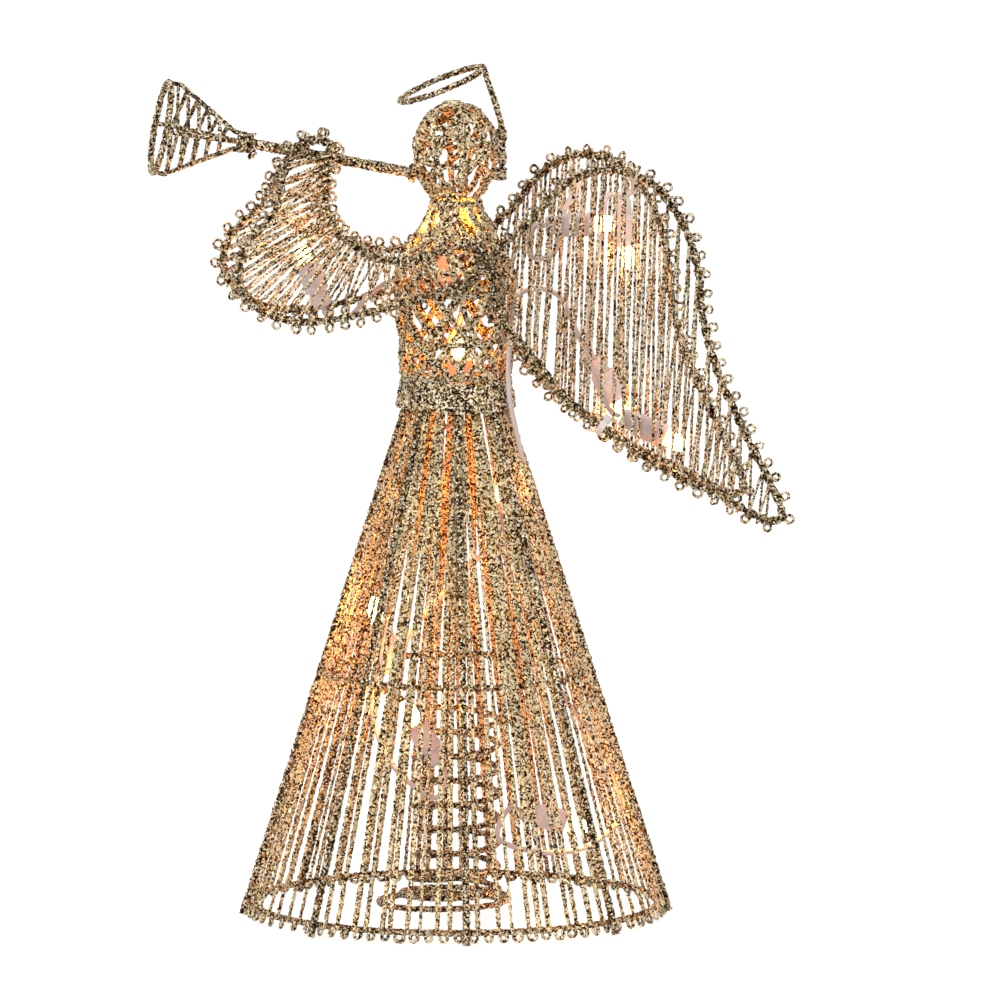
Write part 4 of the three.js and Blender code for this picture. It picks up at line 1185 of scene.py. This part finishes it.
def placeCopy(model, name, place, node, body):
    copy = model.copy()
    copy.data = model.data.copy()
    copy.name = name
    bpy.context.scene.collection.objects.link(copy)
    copy.data.transform(place)
    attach(copy, body)
    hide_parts(node)
    return copy


def makeLamps():
    s = lampSettings
    holder = turnProfile("holder_model", s["holder"], [holderPlastic])
    bulb = turnProfile("bulb_model", s["base"] + s["glass"][1:], [holderPlastic, bulbGlass])
    for joint in frame["joints"]:
        lamp = joint["name"].removeprefix("pull_")
        aim = Vector(joint["axis"]).normalized()
        place = standing(holderBack(frame["nodes"]["lamp_holder_" + lamp], aim), aim)
        cover = placeCopy(holder, "holder_" + lamp, place, "lamp_holder_" + lamp,
                          "figure")
        glass = placeCopy(bulb, "glass_" + lamp, place, "bulb_" + lamp, "bulb_" + lamp)
        # the neck's and chest's holders get the painted glow, as if their lamps shone through them
        if lamp in s["paintedGlowHolders"]:
            cover.data.materials[0] = paintedGlowPlastic
        if "wing" in lamp or lamp == "arm":
            glass.data.materials[1] = openBulbGlass
        elif lamp in s["closeBulbs"]:
            glass.data.materials[1] = closeBulbGlass
    bpy.data.objects.remove(holder)
    bpy.data.objects.remove(bulb)


makeLamps()

# A small white tie that holds a lead to the near wing's lower edge.
tieSettings = {
    "place": (51.5, -29.7, 190.5), "along": (0.79, -0.17, -0.59),
    "radius": 2.75 * mm, "width": 2.6 * mm, "thickness": 0.6 * mm, "sides": 24, "strapEdge": 0.15 * mm,
    "lock": (3.2 * mm, 2.2 * mm, 3.4 * mm), "lockOut": 0.9 * mm, "lockEdge": 0.35 * mm,
}


def makeTie():
    s = tieSettings
    select()
    bpy.ops.mesh.primitive_cylinder_add(vertices=s["sides"], radius=s["radius"], depth=s["width"],
                                        end_fill_type="NOTHING")
    tie = bpy.context.object
    tie.name = "wing_tie"
    finishWith(tie, "SOLIDIFY", thickness=s["thickness"], offset=1)
    finishWith(tie, "BEVEL", width=s["strapEdge"], segments=2)
    # the small lock that the strap pulls through
    select()
    bpy.ops.mesh.primitive_cube_add(size=1, location=(0, s["radius"] + s["lockOut"], 0))
    lock = bpy.context.object
    lock.scale = s["lock"]
    bpy.ops.object.transform_apply(location=True, scale=True)
    finishWith(lock, "BEVEL", width=s["lockEdge"], segments=2)
    select(tie, lock)
    bpy.ops.object.join()
    tie.data.transform(standing(Vector(s["place"]) * mm, Vector(s["along"]).normalized()))
    dress(tie, (holderPlastic, "holder_plastic"))


makeTie()
print("tie made")

# Floor, light and world: a plain white floor, three soft lamps and even daylight round them.
# Each level comes twice: as the camera sees it, and as it lights the piece.
stageSettings = {
    "floorSize": 60, "floor": "#8f8f8f", "floorRoughness": 0.9, "floorSeen": 0.8, "floorLights": 0.35,
    "world": "#ffffff", "worldSeen": 1.0, "worldLights": 0.73,
    "aim": Vector((0.01, 0, 0.16)),
    # where each lamp stands, how wide it is and how strong
    "lamps": {
        "key": ((-1.8, -2.0, 1.7), 1.2, 54),
        "fill": ((2.0, -1.6, 0.9), 1.6, 16),
        "top": ((0.2, 0.9, 2.4), 1.4, 16),
    },
}


def seenLevel(tree, lights, seen):
    # the level for what is seen straight, in a gloss or through glass, and the one for light cast
    path = addNode(tree, "ShaderNodeLightPath")
    straight = addNode(tree, "ShaderNodeMath", {0: path.outputs["Is Camera Ray"],
                                                1: path.outputs["Is Glossy Ray"]}, operation="MAXIMUM")
    through = addNode(tree, "ShaderNodeMath", {0: straight.outputs[0],
                                               1: path.outputs["Is Transmission Ray"]}, operation="MAXIMUM")
    level = addNode(tree, "ShaderNodeMapRange", {"Value": through.outputs[0]}, _3=lights, _4=seen)
    return level.outputs["Result"]


def makeFloor():
    s = stageSettings
    select()
    bpy.ops.mesh.primitive_plane_add(size=s["floorSize"])
    floor = bpy.context.object
    floor.name = "floor"
    made, tree = newMaterial("matt white paper")
    finishMaterial(tree, {"Emission Strength": seenLevel(tree, s["floorLights"], s["floorSeen"])},
                   Base_Color=fromHex(s["floor"]), Roughness=s["floorRoughness"],
                   Emission_Color=fromHex("#ffffff"))
    floor.data.materials.append(made)


def makeDaylight():
    s = stageSettings
    world = bpy.data.worlds.new("daylight")
    bpy.context.scene.world = world
    world.use_nodes = True
    tree = world.node_tree
    background = tree.nodes["Background"]
    background.inputs["Color"].default_value = fromHex(s["world"])
    tree.links.new(seenLevel(tree, s["worldLights"], s["worldSeen"]), background.inputs["Strength"])
    for name, (place, size, power) in s["lamps"].items():
        bpy.ops.object.light_add(type="AREA", location=place)
        lamp = bpy.context.object
        lamp.name = name
        lamp.data.size = size
        lamp.data.energy = power
        lamp.rotation_euler = (s["aim"] - Vector(place)).to_track_quat("-Z", "Y").to_euler()
    bpy.context.scene.view_settings.view_transform = "Standard"


makeFloor()
makeDaylight()
print("stage set")
select()
bpy.context.view_layer.update()
